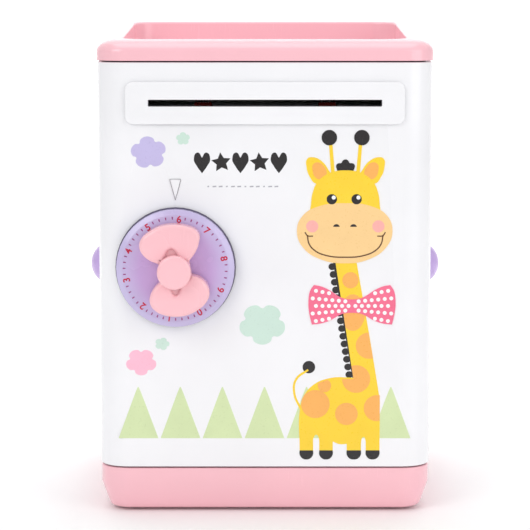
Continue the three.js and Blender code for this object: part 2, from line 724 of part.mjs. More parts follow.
function bowLoops() {
  const bevel = 2;
  const w = bowWidth / 2 - bevel;
  const h = bowLength / 2 - bevel;
  const neck = bowNeck / 2 - bevel;
  const outline = new THREE.Shape();
  outline.moveTo(neck, 0);
  for (const [x, y] of [[1, 1], [-1, -1]]) {
    outline.quadraticCurveTo(x * (neck + 0.6), y * 0.35 * h, x * w, y * (h - 5));
    outline.quadraticCurveTo(x * (w + 0.8), y * (h - 0.5), x * (w - 4), y * h);
    outline.quadraticCurveTo(0, y * (h + 0.9), -x * (w - 4), y * h);
    outline.quadraticCurveTo(-x * (w + 0.8), y * (h - 0.5), -x * w, y * (h - 5));
    outline.quadraticCurveTo(-x * (neck + 0.6), y * 0.35 * h, -x * neck, 0);
  }
  const rounding = { bevelThickness: bevel, bevelSize: bevel, bevelSegments: 2 };
  const depth = bowThickness - 2 * bevel;
  const geometry = new THREE.ExtrudeGeometry(outline, { depth, ...rounding, curveSegments: 4 });
  const loops = solidOf(geometry.rotateX(Math.PI / 2).translate(0, bowBack - bevel, 0));
  return cut(loops, rodY(knobShaftRadius + fitGap, bowBack - 6, bowBack + 1, 0, 0));
}

function bowKnot() {
  const r = knotRadius;
  const h = knotHeight;
  const back = bowFront - gap;
  return solidOf(turned([[0, back - h], [0.6 * r, back - 0.9 * h], [0.9 * r, back - 0.7 * h],
    [r, back - 0.4 * h], [r, back], [0, back]], 32));
}

function lockCam() {
  const x = crankRadius * Math.sin(crankRest);
  const z = -crankRadius * Math.cos(crankRest);
  const disc = rodY(crankRadius + 2.6, camFront, camBack, 0, 0, 32);
  const pin = rodY(crankPinRadius, camBack - 0.5, boltBack, x, z, 16);
  return cut(join(disc, pin), rodY(knobShaftRadius + fitGap, camFront - 1, camBack - 0.8, 0, 0));
}

function bolt() {
  const z = [boltZ - dialZ - boltHeight / 2, boltZ - dialZ + boltHeight / 2];
  const bar = block(boltTip - dialX, 9, boltFront, boltBack, ...z);
  const slotX = crankRadius * Math.sin(crankRest);
  const half = crankPinRadius + 0.25;
  const low = -crankRadius - half;
  const high = -crankRadius * Math.cos(crankRest) + half;
  return cut(bar, block(slotX - half, slotX + half, boltFront - 1, boltBack + 1, low - 0.2, high + 0.2));
}

function lockCase() {
  const sides = [-lockHalf, lockHalf];
  const outer = block(...sides, plateBack + gap, lockBack, -lockHalf, lockTop);
  const inside = lockHalf - lockWall;
  const inner = block(-inside, inside, plateBack - 1, lockBack - lockWall, -inside, lockTop - lockWall);
  const z = [boltZ - dialZ - boltHeight / 2 - gap, boltZ - dialZ + boltHeight / 2 + gap];
  const boltWay = block(-lockHalf - 1, -inside + 1, boltFront - gap, boltBack + gap, ...z);
  let shell = cut(outer, inner, boltWay);
  shell = cut(shell, rodY(1.2 + fitGap, boltFront, lockBack + 1, fencePivotX, fencePivotZ, 16));
  for (const [low, high] of [[lockTop - 1, lockTop + earReach], [-lockHalf - earReach, -lockHalf + 1]]) {
    shell = join(shell, block(-4, 4, bossTop + gap, tabBack, low, high));
  }
  for (const [x, z0] of doorBosses.slice(2)) {
    shell = cut(shell, rodY(screwRadius + fitGap, bossTop, tabBack + 1, x - dialX, z0 - dialZ, 12));
  }
  return shell;
}

// A lever over the wheels: at rest its blade stands just clear of their rims, over the gates.
function fenceLever() {
  const y = [firstWheel, driverBack];
  const blade = block(-1.5, 1.5, ...y, wheelRadius + 0.5, fencePivotZ);
  const arm = block(-3, fencePivotX, ...y, fencePivotZ - 1.6, fencePivotZ + 1.6);
  const boss = rodY(2.4, ...y, fencePivotX, fencePivotZ);
  return join(blade, arm, boss, rodY(1.2, driverBack - 1, lockBack - 0.2, fencePivotX, fencePivotZ, 16));
}

function strikePlate() {
  const z = [boltZ - boltHeight, boltZ + boltHeight];
  const plate = block(strikeX - strikeThickness, strikeX, boltFront - 3, caseFront + 6, ...z);
  const pad = block(-side + wall + gap, strikeX, caseFront + 0.4, caseFront + 14, ...z);
  const half = boltHeight / 2 + 0.5;
  const hole = [strikeX - 3, strikeX + 1, boltFront - 0.5, boltBack + 0.5];
  const window = block(...hole, boltZ - half, boltZ + half);
  return cut(join(plate, pad), window);
}

// ---- the assembly -------------------------------------------------------------------------------------
const bank = new THREE.Group();
const caseGroup = new THREE.Group();
const doorGroup = new THREE.Group();
const dialGroup = new THREE.Group();
dialGroup.position.set(dialX, 0, dialZ);
doorGroup.add(dialGroup);
bank.add(caseGroup, doorGroup);

caseGroup.add(
  mesh("case_shell", caseShell(), material.white),
  mesh("base_tray", baseTray(), material.pink),
  mesh("lid_cover", lidCover(), material.pink),
  mesh("coin_chute", coinChute(), material.inner),
  mesh("strike_plate", strikePlate(), material.steel),
);
const cap = solidOf(sideCap());
caseGroup.add(
  mesh("side_cap_left", cap, material.lavender, [-side - gap, 0, sideCapZ], [0, 0, Math.PI / 2]),
  mesh("side_cap_right", cap, material.lavender, [side + gap, 0, sideCapZ], [0, 0, -Math.PI / 2]),
);
const corners = ["front_left", "front_right", "rear_left", "rear_right"];
corners.forEach((corner, i) => {
  const [footX, footY] = footPlaces[i];
  const [baseX, baseY] = baseScrewPlaces[i];
  const [lidX, lidY] = lidScrewPlaces[i];
  const baseScrew = screw(caseBossTop - 2 - counterbore);
  const lidScrew = screw(channelScrewLength);
  caseGroup.add(
    mesh("foot_" + corner, foot(), material.rubber, [footX, footY, 0]),
    mesh("base_screw_" + corner, baseScrew, material.steel, [baseX, baseY, counterbore - gap]),
    mesh("lid_screw_" + corner, lidScrew, material.steel, [lidX, lidY, deckUnder - gap]),
  );
});
const pinLow = baseTop - hingePinDepth + gap;
const pinHigh = lidBottom + lidSkirt;
const hingePin = (low, high) => rodZ(hingePinRadius, low, high, hingeX, hingeY, 12);
caseGroup.add(
  mesh("hinge_pin_lower", hingePin(pinLow, doorBottom + hingePinDepth - 1), material.steel),
  mesh("hinge_pin_upper", hingePin(doorTop - hingePinDepth + 1, pinHigh), material.steel),
);

const feedShaft = rodX(feedShaftRadius, -cheekOuter - 2, gearEnd + gap, 0, 0);
const pinchShaft = rodX(pinchShaftRadius, -cheekOuter - 1, cheekOuter + 1, 0, 0);
const idlerAxle = rodX(feedShaftRadius, cheekX, gearEnd + gap, 0, 0);
doorGroup.add(
  mesh("door_panel", doorPanel(), material.white),
  mesh("slot_bezel", slotBezel(), material.white, [0, 0, slotZ]),
  mesh("feed_frame", feedFrame(), material.inner),
  mesh("bill_guide", billGuide(), material.inner),
  mesh("feed_shaft", feedShaft, material.steel, [0, feedY, driveZ]),
  mesh("pinch_shaft", pinchShaft, material.steel, [0, feedY, pinchZ]),
  mesh("drive_gear", driveGear(), material.gear, [0, feedY, driveZ]),
  mesh("idler_gear", idlerGear(), material.gear, [0, idlerY, idlerZ]),
  mesh("idler_axle", idlerAxle, material.steel, [0, idlerY, idlerZ]),
  mesh("motor", motorCan(), material.steel, [0, idlerY, pinionZ]),
  mesh("motor_pinion", motorPinion(), material.gear, [0, idlerY, pinionZ]),
  mesh("circuit_board", circuitBoard(), material.board),
  mesh("speaker", speaker(), material.black, [dialX, frameFront, speakerZ]),
  mesh("battery_box", batteryBox(), material.black),
  mesh("battery_cover", batteryCover(), material.black),
  mesh("power_switch", powerSwitch(), material.inner),
);
for (const [word, x] of [["left", -rollerX], ["right", rollerX]]) {
  const drive = roller(driveRollerRadius, feedShaftRadius);
  const pinch = roller(pinchRollerRadius, pinchShaftRadius);
  doorGroup.add(
    mesh("feed_roller_" + word, drive, material.rubber, [x, feedY, driveZ]),
    mesh("pinch_roller_" + word, pinch, material.rubber, [x, feedY, pinchZ]),
  );
}
const cellY = frameFront + 1 + gap + cellRadius;
["lower", "middle", "upper"].forEach((word, i) => {
  const turn = i % 2 ? Math.PI : 0;
  const place = [batteryX, cellY, cellZ + (i - 1) * cellPitch];
  doorGroup.add(mesh("aa_cell_" + word, cell(), material.cell, place, [0, turn, 0]));
});
const screwNames = ["feed_screw_left", "feed_screw_right", "lock_screw_upper", "lock_screw_lower"];
doorBosses.forEach(([x, z], i) => {
  const length = tabBack - plateBack;
  const place = [x, tabBack + gap, z];
  doorGroup.add(mesh(screwNames[i], screw(length), material.steel, place, [Math.PI / 2, 0, 0]));
});

const handle = new THREE.Group();
handle.rotation.y = -bowTilt;
handle.add(
  mesh("bow_loops", bowLoops(), material.pink),
  mesh("bow_knot", bowKnot(), material.pink),
);
dialGroup.add(
  handle,
  mesh("dial_disc", dialDisc(), material.lavender),
  mesh("dial_ring", dialRing(), material.ring),
  mesh("knob_shaft", rodY(knobShaftRadius, bowBack - 5.6, camBack - 1.2, 0, 0), material.steel),
  mesh("lock_cam", lockCam(), material.inner),
  mesh("lock_bolt", bolt(), material.steel),
  mesh("lock_case", lockCase(), material.inner),
  mesh("drive_wheel", wheel(driverFront), material.inner),
  mesh("code_wheel_front", wheel(firstWheel), material.inner),
  mesh("code_wheel_rear", wheel(firstWheel + wheelPitch), material.inner),
  mesh("fence_lever", fenceLever(), material.inner),
);

// The origin goes to the middle of the depth from the knot to the lid's back edge.
const knotFront = bowFront - gap - knotHeight;
bank.position.y = -(knotFront + lidHalfY) / 2;

export default bank;
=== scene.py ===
import json
import math

import bmesh
import bpy
from mathutils import Matrix, Vector


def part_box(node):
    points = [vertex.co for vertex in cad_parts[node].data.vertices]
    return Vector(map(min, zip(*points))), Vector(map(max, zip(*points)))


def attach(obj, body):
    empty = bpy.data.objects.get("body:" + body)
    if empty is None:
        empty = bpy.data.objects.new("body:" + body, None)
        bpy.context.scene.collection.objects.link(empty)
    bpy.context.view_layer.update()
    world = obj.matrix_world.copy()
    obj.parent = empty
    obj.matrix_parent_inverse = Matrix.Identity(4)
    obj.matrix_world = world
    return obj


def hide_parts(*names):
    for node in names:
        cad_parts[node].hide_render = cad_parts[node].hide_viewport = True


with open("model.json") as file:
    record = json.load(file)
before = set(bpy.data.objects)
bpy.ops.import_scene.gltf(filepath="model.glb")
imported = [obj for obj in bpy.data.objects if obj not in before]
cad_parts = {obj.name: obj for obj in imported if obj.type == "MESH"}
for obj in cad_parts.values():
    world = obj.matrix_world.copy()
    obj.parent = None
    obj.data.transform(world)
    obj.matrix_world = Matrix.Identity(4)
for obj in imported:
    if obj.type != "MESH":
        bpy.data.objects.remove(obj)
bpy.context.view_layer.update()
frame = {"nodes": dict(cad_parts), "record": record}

bl_info = {
    "name": "Toy safe coin bank",
    "version": (1, 0, 0),
    "blender": (4, 5, 0),
    "location": "View3D > Sidebar > Coin bank",
    "description": "Shells, prints, dial, bow handle and feed unit of a toy safe coin bank",
    "category": "Object",
}

MM = 0.001
NODES = frame["nodes"]
BODY_OF = {
    node: body
    for body, nodes in frame["record"]["behaviour"]["bodies"].items()
    for node in nodes
}


def box_mm(node):
    """A CAD node's lowest corner, highest corner and middle in millimetres."""
    low, high = (Vector(corner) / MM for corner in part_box(node))
    return low, high, (low + high) / 2


def srgb(red, green, blue):
    """A display colour of 0 to 255 as linear light."""
    def linear(c):
        c /= 255
        return c / 12.92 if c <= 0.04045 else ((c + 0.055) / 1.055) ** 2.4
    return tuple(linear(c) for c in (red, green, blue))


TRIM_GAP = 0.3  # between the dial ring or a side cap and the wall behind it
DOOR_FACE = box_mm("dial_ring")[1][1] + TRIM_GAP
DOOR_FOOT = box_mm("door_panel")[0][2]
DIAL_LOW, DIAL_HIGH, (DIAL_X, _, DIAL_Z) = box_mm("dial_disc")
DIAL_RADIUS = (DIAL_HIGH[0] - DIAL_LOW[0]) / 2
DIAL_FRONT = DIAL_LOW[1]


# ---- finishes ---------------------------------------------------------------------------------

class Wire:
    """One output of a finish's node, which takes part in sums."""

    def __init__(self, finish, socket):
        self.finish = finish
        self.socket = socket

    def sum(self, operation, *values):
        return self.finish.node("ShaderNodeMath", {"operation": operation}, dict(enumerate(values)))

    def __add__(self, other):
        return self.sum("ADD", self, other)

    def __sub__(self, other):
        return self.sum("SUBTRACT", self, other)

    def __rsub__(self, other):
        return self.sum("SUBTRACT", other, self)

    def __mul__(self, other):
        return self.sum("MULTIPLY", self, other)

    def __gt__(self, other):
        return self.sum("GREATER_THAN", self, other)

    def __lt__(self, other):
        return self.sum("LESS_THAN", self, other)

    __radd__ = __add__
    __rmul__ = __mul__


class Finish:
    """A material while its nodes are put together."""

    def __init__(self, name):
        self.material = bpy.data.materials.new(name)
        self.material.use_nodes = True
        self.tree = self.material.node_tree
        self.tree.nodes.clear()

    def node(self, kind, settings=None, sockets=None, output=0):
        """Adds a node with its settings and its sockets' values or links, and gives one of its outputs."""
        made = self.tree.nodes.new(kind)
        for key, value in (settings or {}).items():
            setattr(made, key, value)
        for key, value in (sockets or {}).items():
            if isinstance(value, Wire):
                self.tree.links.new(value.socket, made.inputs[key])
            else:
                made.inputs[key].default_value = value
        return Wire(self, made.outputs[output]) if made.outputs else None

    def place(self, centre=(0, 0, 0), scale=(1, 1, 1)):
        """Object coordinates measured from a centre in millimetres, stretched by a scale."""
        return self.node("ShaderNodeMapping", None, {
            "Vector": self.node("ShaderNodeTexCoord", output="Object"),
            "Location": [-c * MM * s for c, s in zip(centre, scale)],
            "Scale": scale,
        })

    def noise(self, size, detail=2.0, where=None, roughness=0.5):
        """Noise from 0 to 1 with features of a size in millimetres."""
        return self.node("ShaderNodeTexNoise", None, {
            "Vector": where or self.place(), "Scale": 1 / (size * MM),
            "Detail": detail, "Roughness": roughness,
        })

    def between(self, value, start, end, low=0.0, high=1.0):
        """Maps start..end of a value on to low..high, and holds it there."""
        return self.node("ShaderNodeMapRange", None, dict(enumerate((value, start, end, low, high))))

    def blend(self, share, first, second):
        """Two colours mixed: a share of 0 gives the first and 1 the second."""
        first, second = (c if isinstance(c, Wire) else (*c, 1) for c in (first, second))
        return self.node("ShaderNodeMix", {"data_type": "RGBA"}, {0: share, 6: first, 7: second}, output=2)

    def bump(self, height, depth, strength):
        """A bump whose full height is a depth in millimetres."""
        sockets = {"Height": height, "Distance": depth * MM, "Strength": strength}
        return self.node("ShaderNodeBump", None, sockets)

    def surface(self, **sockets):
        """Ends the finish with a Principled surface, and gives the material."""
        named = {key.replace("_", " "): value for key, value in sockets.items()}
        if not isinstance(named["Base Color"], Wire):
            named["Base Color"] = (*named["Base Color"], 1)
        shader = self.node("ShaderNodeBsdfPrincipled", None, named)
        self.node("ShaderNodeOutputMaterial", None, {"Surface": shader})
        return self.material


def shade(colour, factor):
    """A colour made lighter or darker."""
    return tuple(min(1.0, c * factor) for c in colour)


def gloss(name, colour, roughness):
    """Polished moulded ABS: faint flow marks, fine orange peel and hairline rub marks."""
    f = Finish(name)
    flow = f.noise(38, 3)
    peel = f.noise(1.6, 2)
    rub = f.noise(0.35, 3, f.place(scale=(1, 1, 0.04)))
    mottled = f.blend(f.between(flow, 0.3, 0.7), shade(colour, 0.975), shade(colour, 1.015))
    marks = f.between(rub, 0.62, 0.78)
    height = peel * 0.5 + flow * 2.0
    return f.surface(
        Base_Color=mottled,
        Roughness=f.between(flow, 0.3, 0.7, roughness - 0.03, roughness + 0.05) + marks * 0.06,
        Coat_Weight=0.35, Coat_Roughness=0.08,
        Normal=f.bump(height, 0.012, 0.6),
    )


def satin(name, colour, roughness, spark=0.5, depth=0.02):
    """Moulded plastic with a spark-eroded grain, whose size and depth are in millimetres."""
    f = Finish(name)
    grain = f.noise(spark, 4, roughness=0.65)
    flow = f.noise(24, 2)
    tone = f.blend(f.between(flow, 0.3, 0.7), shade(colour, 0.94), shade(colour, 1.05))
    return f.surface(
        Base_Color=f.blend(f.between(grain, 0.35, 0.75) * 0.35, tone, shade(colour, 0.86)),
        Roughness=f.between(grain, 0.3, 0.7, roughness - 0.06, roughness + 0.1),
        Normal=f.bump(grain, depth, 0.8),
    )


def rubber(name, colour, grain_size=0.6):
    """Dull grained rubber with a little dust on it."""
    f = Finish(name)
    grain = f.noise(grain_size, 5, roughness=0.7)
    dust = f.noise(7, 3)
    dusty = f.blend(f.between(dust, 0.5, 0.8) * 0.35, colour, shade(colour, 1.9))
    return f.surface(
        Base_Color=dusty,
        Roughness=f.between(grain, 0.3, 0.7, 0.72, 0.92),
        Normal=f.bump(grain, 0.05, 0.9),
    )


def metal(name, colour, roughness, stretch=(1, 1, 1)):
    """Bare or plated metal; a stretch below 1 along an axis draws its fine marks out into lines."""
    f = Finish(name)
    lines = f.noise(0.5, 4, f.place(scale=stretch), 0.7)
    cloud = f.noise(9, 3)
    return f.surface(
        Base_Color=f.blend(f.between(cloud, 0.35, 0.7), colour, shade(colour, 0.82)),
        Metallic=1.0,
        Roughness=f.between(lines, 0.3, 0.7, roughness - 0.08, roughness + 0.12),
        Normal=f.bump(lines, 0.01, 0.7),
    )


def ink(name, colour):
    """Screen ink under a clear coat: slightly uneven cover and a soft sheen."""
    f = Finish(name)
    cover = f.noise(0.9, 3)
    cloud = f.noise(11, 2)
    tone = f.blend(f.between(cloud, 0.3, 0.7), shade(colour, 0.97), shade(colour, 1.02))
    return f.surface(
        Base_Color=f.blend(f.between(cover, 0.55, 0.8) * 0.12, tone, shade(colour, 1.12)),
        Roughness=f.between(cover, 0.3, 0.7, 0.26, 0.36),
        Coat_Weight=0.3, Coat_Roughness=0.1,
        Normal=f.bump(cover, 0.004, 0.5),
    )


def dial_finish(name, middle, rim):
    """The dial's lavender, with a painted highlight that makes it paler towards its rim."""
    f = Finish(name)
    on_face = f.place((DIAL_X, 0, DIAL_Z), (1, 0, 1))
    radius = f.node("ShaderNodeVectorMath", {"operation": "LENGTH"}, {0: on_face}, output="Value")
    flow = f.noise(14, 3)
    peel = f.noise(1.3, 2)
    # The paler band towards the rim is a painted highlight, standing for light on the dial's sloped rim.
    waver, highlight_from, highlight_to = 4 * MM, 14.5 * MM, 21.5 * MM
    rim_highlight_share = f.between(radius + (flow - 0.5) * waver, highlight_from, highlight_to)
    tone = f.blend(rim_highlight_share, middle, rim)
    return f.surface(
        Base_Color=f.blend(f.between(flow, 0.3, 0.7) * 0.25, tone, shade(middle, 0.93)),
        Roughness=f.between(flow, 0.3, 0.7, 0.2, 0.3),
        Coat_Weight=0.35, Coat_Roughness=0.08,
        Normal=f.bump(peel, 0.008, 0.6),
    )


def board_finish(name, lacquer):
    """Lacquered circuit board: copper tracks under green, and a faint glass weave."""
    f = Finish(name)
    upright = {"Vector": f.place(), "Rotation": (math.pi / 2, 0, 0)}
    tracks = f.node("ShaderNodeTexBrick", {"offset": 0.5, "squash": 0.6, "squash_frequency": 3}, {
        "Vector": f.node("ShaderNodeMapping", None, upright),
        "Scale": 240, "Mortar Size": 0.05, "Mortar Smooth": 0.2, "Brick Width": 0.9, "Row Height": 0.34,
    }, output="Fac")
    weave = f.noise(0.25, 2)
    tone = f.blend(tracks, lacquer, shade(lacquer, 2.1))
    return f.surface(
        Base_Color=f.blend(f.between(weave, 0.4, 0.7) * 0.2, tone, shade(lacquer, 0.7)),
        Roughness=f.between(weave, 0.3, 0.7, 0.3, 0.42),
        Coat_Weight=0.4, Coat_Roughness=0.15,
        Normal=f.bump(tracks, 0.03, 0.7),
    )


def cell_finish(name, sleeve, band, start, end, flip):
    """A dry cell's shrink sleeve with a coloured band at one end, and bare metal past its ends."""
    f = Finish(name)
    across = f.node("ShaderNodeSeparateXYZ", None, {0: f.place()})
    along = f.between(across, start * MM, end * MM)
    if flip:
        along = 1 - along
    wrinkle = f.noise(2.2, 3)
    rear_cap, line, band_start, front_cap = 0.012, 0.7, 0.72, 0.955
    tone = f.blend(along > band_start, sleeve, band)
    tone = f.blend((along > line) * (along < band_start), tone, (0.85, 0.85, 0.85))
    bare = (along > front_cap) + (along < rear_cap)
    return f.surface(
        Base_Color=f.blend(bare, tone, (0.62, 0.62, 0.64)),
        Metallic=bare,
        Roughness=f.between(wrinkle, 0.3, 0.7, 0.22, 0.38),
        Normal=f.bump(wrinkle, 0.03, 0.5),
    )


# ---- shapes, in millimetres -------------------------------------------------------------------

FRONT_VIEW = Matrix(((1, 0, 0, 0), (0, 0, -1, 0), (0, 1, 0, 0), (0, 0, 0, 1)))  # X, up and proud of the front


def at(x, y, z):
    return Matrix.Translation((x, y, z))


def linked(name, data):
    """A new object in the scene."""
    made = bpy.data.objects.new(name, data)
    bpy.context.scene.collection.objects.link(made)
    return made


def meshed(name, shape):
    """A bmesh made a mesh."""
    data = bpy.data.meshes.new(name)
    shape.to_mesh(data)
    shape.free()
    return data


def evaluated(holder):
    """A bmesh of an object as its curve or its modifiers make it. The object is then removed."""
    bpy.context.view_layer.update()
    made = bpy.data.meshes.new_from_object(holder.evaluated_get(bpy.context.evaluated_depsgraph_get()))
    shape = bmesh.new()
    shape.from_mesh(made)
    bpy.data.objects.remove(holder)
    bpy.data.meshes.remove(made)
    return shape


def add_piece(name, shape, body, finishes, nodes=(), angle=35):
    """Turns a bmesh in millimetres into a finished piece that rides on a body and may stand for CAD nodes."""
    bmesh.ops.scale(shape, vec=(MM, MM, MM), verts=shape.verts)
    return add_scaled(name, shape, body, finishes, nodes, angle)


def add_scaled(name, shape, body, finishes, nodes, angle):
    """The same from a bmesh in metres."""
    piece = linked(name, meshed(name, shape))
    for finish in finishes:
        piece.data.materials.append(finish)
    piece.data.shade_smooth()
    piece.data.set_sharp_from_angle(angle=math.radians(angle))
    if nodes:
        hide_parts(*nodes)
    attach(piece, body)
    return piece


def refined(node, finish, bevel, segments=2, angle=38):
    """A merged copy of a CAD node with its sharp edges rounded."""
    shape = bmesh.new()
    shape.from_mesh(NODES[node].data)
    shape.transform(NODES[node].matrix_world)
    bmesh.ops.remove_doubles(shape, verts=shape.verts, dist=2e-6)
    bmesh.ops.dissolve_limit(
        shape, angle_limit=math.radians(0.4), use_dissolve_boundaries=False,
        verts=shape.verts, edges=shape.edges, delimit=set(),
    )
    piece = add_scaled(node + "_moulded", shape, BODY_OF[node], [finish], [node], angle)
    if bevel:
        rounding = piece.modifiers.new("Rounded edges", "BEVEL")
        rounding.width = bevel * MM
        rounding.segments = segments
        rounding.limit_method = "ANGLE"
        rounding.angle_limit = math.radians(angle)
        rounding.use_clamp_overlap = False
        rounding.loop_slide = False
        rounding.miter_outer = "MITER_ARC"
        rounding.harden_normals = True
    return piece


def turned(profile, place, steps=48):
    """A closed turned shape: profile holds [radius, height] pairs, and height runs along the local Z."""
    shape = bmesh.new()
    verts = [shape.verts.new((r, 0, h)) for r, h in profile]
    edges = [shape.edges.new(pair) for pair in zip(verts, verts[1:])]
    bmesh.ops.spin(
        shape, geom=verts + edges, cent=(0, 0, 0), axis=(0, 0, 1),
        angle=2 * math.pi, steps=steps, use_merge=True, use_duplicate=False,
    )
    bmesh.ops.remove_doubles(shape, verts=shape.verts, dist=1e-4)
    bmesh.ops.recalc_face_normals(shape, faces=shape.faces)
    shape.transform(place)
    return shape


def arc(radius, height, round_radius, steps=4):
    """The rounded outer corner of a turned profile, from its side to its top."""
    turn = [math.pi / 2 * i / steps for i in range(steps + 1)]
    return [
        (radius - round_radius * (1 - math.cos(a)), height - round_radius * (1 - math.sin(a)))
        for a in turn
    ]


def cuboid(low, high, bevel=0.0):
    """A block between two corners, with all its edges rounded."""
    shape = bmesh.new()
    bmesh.ops.create_cube(shape, size=1)
    size = Vector(high) - Vector(low)
    bmesh.ops.scale(shape, vec=size, verts=shape.verts)
    bmesh.ops.translate(shape, vec=(Vector(low) + Vector(high)) / 2, verts=shape.verts)
    if bevel:
        bmesh.ops.bevel(
            shape, geom=shape.edges[:], offset=bevel, segments=2,
            affect="EDGES", profile=0.5, material=-1,
        )
    return shape


def merged(*shapes):
    """Several bmeshes in one."""
    whole = bmesh.new()
    for shape in shapes:
        data = meshed("part", shape)
        whole.from_mesh(data)
        bpy.data.meshes.remove(data)
    return whole


def from_curve(data, place, look=0):
    """A curve or text made a mesh, then put in its place."""
    shape = evaluated(linked("outline", data))
    bpy.data.curves.remove(data)
    bmesh.ops.remove_doubles(shape, verts=shape.verts, dist=1e-4)
    bmesh.ops.recalc_face_normals(shape, faces=shape.faces)
    for face in shape.faces:
        face.material_index = look
    shape.transform(place)
    return shape


def add_spline(data, points, closed):
    """A line through points of a curve: smooth at (x, y) ones, and with a corner at (x, y, 0) ones."""
    spline = data.splines.new("BEZIER")
    spline.bezier_points.add(len(points) - 1)
    spline.use_cyclic_u = closed
    for point, (x, y, *corner) in zip(spline.bezier_points, points):
        point.co = (x, y, 0)
        point.handle_left_type = point.handle_right_type = "VECTOR" if corner else "AUTO"


def flat(points, depth, place, look=0, rounding=0.0, offset=0.0, steps=6, hole=()):
    """A plate from an outline of (x, y) smooth points and (x, y, 0) corners, from z 0 back to -depth."""
    data = bpy.data.curves.new("outline", "CURVE")
    data.dimensions = "2D"
    data.fill_mode = "BOTH"
    data.extrude = depth / 2 - rounding
    data.bevel_depth = rounding
    data.bevel_resolution = 4 if rounding else 0
    data.offset = offset - rounding
    data.resolution_u = steps
    for outline in filter(None, (points, hole)):
        add_spline(data, outline, True)
    return from_curve(data, place @ at(0, 0, -depth / 2), look)


def rounded_box(half_width, half_height, corner, steps=6):
    """The corners of a rectangle with round corners, anticlockwise."""
    points = []
    for x, y, start in ((1, 1, 0), (-1, 1, 90), (-1, -1, 180), (1, -1, 270)):
        for i in range(steps + 1):
            turn = math.radians(start + 90 * i / steps)
            points.append((
                x * (half_width - corner) + corner * math.cos(turn),
                y * (half_height - corner) + corner * math.sin(turn), 0,
            ))
    return points


def stroke(points, width, place, look):
    """A round-ended line through points, pressed flat against the face that it lies on."""
    flatness = 0.12
    data = bpy.data.curves.new("line", "CURVE")
    data.dimensions = "3D"
    data.bevel_depth = width / 2
    data.bevel_resolution = 3
    data.use_fill_caps = True
    data.resolution_u = 10
    add_spline(data, points, False)
    return from_curve(data, place @ Matrix.Diagonal((1, 1, flatness, 1)), look)


def circle(x, y, radius, points=8, squash=1.0):
    """Smooth points round a circle, whose height is squashed by a factor."""
    turn = [2 * math.pi * i / points for i in range(points)]
    return [(x + radius * math.cos(a), y + radius * squash * math.sin(a)) for a in turn]


def lettering(text, size, place, depth, weight):
    """Raised type, made bolder by a weight in millimetres."""
    data = bpy.data.curves.new("figure", "FONT")
    data.body = text
    data.size = size
    data.extrude = depth / 2
    data.offset = weight
    data.align_x = "CENTER"
    data.align_y = "CENTER"
    return from_curve(data, place @ at(0, 0, -depth / 2))


# ---- sizes and colours ------------------------------------------------------------------------

def size(name, description, default, low=0.0):
    return bpy.props.FloatProperty(name=name, description=description, default=default, min=low)


def tint(name, description, *rgb):
    return bpy.props.FloatVectorProperty(
        name=name, description=description, default=srgb(*rgb), subtype="COLOR", size=3, min=0, max=1,
    )


class BankShellSettings(bpy.types.PropertyGroup):
    edge: size("Edge radius", "Rounding of the shells' edges, in millimetres", 0.45)
    seam_edge: size("Seam radius", "Rounding of the slot frame's edges, in millimetres", 0.5)
    white: tint("White", "The case, the door and the slot frame", 244, 244, 247)
    pink: tint("Pink", "The lid and the base", 250, 193, 203)
    lavender: tint("Lavender", "The side domes", 196, 168, 226)


class BankDialSettings(bpy.types.PropertyGroup):
    figure_height: size("Figure height", "Type size of the dial's figures, in millimetres", 3.9)
    figure_share: size("Figure circle", "Their circle as a share of the dial's radius", 0.836)
    tick_share: size("Tick circle", "The ticks' circle as a share of the dial's radius", 0.86)
    middle: tint("Middle", "The dial inside its figures", 203, 172, 228)
    # The rim colour is the dial's lavender with a painted highlight of its sloped rim.
    rim: tint("Rim", "The dial outside its figures", 199, 190, 228)
    edge_ring: tint("Edge ring", "The dark ring round the dial", 104, 98, 122)
    figures: tint("Figures", "Ink of the figures", 196, 14, 66)
    ticks: tint("Ticks", "Ink of the ticks", 150, 60, 130)


class BankBowSettings(bpy.types.PropertyGroup):
    rounding: size("Rounding", "Radius along the loops' front edge, in millimetres", 1.6)
    fold: size("Fold depth", "How deep the folds by the knot are, in millimetres", 1.7)
    knot_rounding: size("Knot rounding", "Radius round the knot's face, in millimetres", 1.2)
    pink: tint("Pink", "The bow handle", 251, 194, 202)


class BankPrintSettings(bpy.types.PropertyGroup):
    step: size("Layer step", "How far one layer of ink stands over the one below, in millimetres", 0.02)
    sink: size("Sunk depth", "How far each print reaches into the door, in millimetres", 0.1)
    lilac: tint("Lilac flower", "The large flower at the upper left", 197, 188, 230)
    mint: tint("Mint flowers", "The flowers at the middle and the top", 206, 231, 218)
    rose: tint("Rose flower", "The flower at the lower left", 255, 190, 212)
    tree: tint("Trees", "The row of trees", 213, 229, 177)
    yellow: tint("Yellow", "The giraffe", 253, 213, 46)
    patch: tint("Patches", "Its patches", 250, 179, 90)
    muzzle: tint("Muzzle", "Its muzzle", 251, 210, 146)
    cheek: tint("Cheeks", "Its cheeks", 255, 178, 172)
    mouth: tint("Mouth", "The line of its mouth", 96, 60, 30)
    dark: tint("Dark", "Hooves, mane, eyes and the motif", 26, 21, 24)
    tie: tint("Bow tie", "Its bow tie", 245, 110, 145)
    grey: tint("Grey", "The row of dashes", 176, 176, 184)


class BankStageSettings(bpy.types.PropertyGroup):
    lens: size("Lens", "Focal length on a 36 mm sensor", 149.4)
    distance: size("Distance", "From the camera to the vertical axis, in millimetres", 937.0)
    height: size("Camera height", "Above the floor, in millimetres", 217.27)
    pitch: size("Pitch", "Tilt of the view below the horizon, in degrees", 7.36)
    floor: tint("Floor", "The floor and the backdrop", 253, 253, 253)
    world: size("Room light", "Strength of the even light", 0.57)
    key: size("Key light", "Power of the soft light from the upper left, in watts", 4.6)
    fill: size("Fill light", "Power of the soft light from the right, in watts", 3.9)
    top: size("Top light", "Power of the soft light above, in watts", 3.7)
    wash: size("Backdrop light", "Power of the light on the backdrop, in watts", 9.0)


class BankPart:
    """What the operators share: each has a make method, which builds its pieces."""
    bl_options = {"REGISTER", "UNDO"}

    def execute(self, context):
        self.make(context.scene)
        return {"FINISHED"}


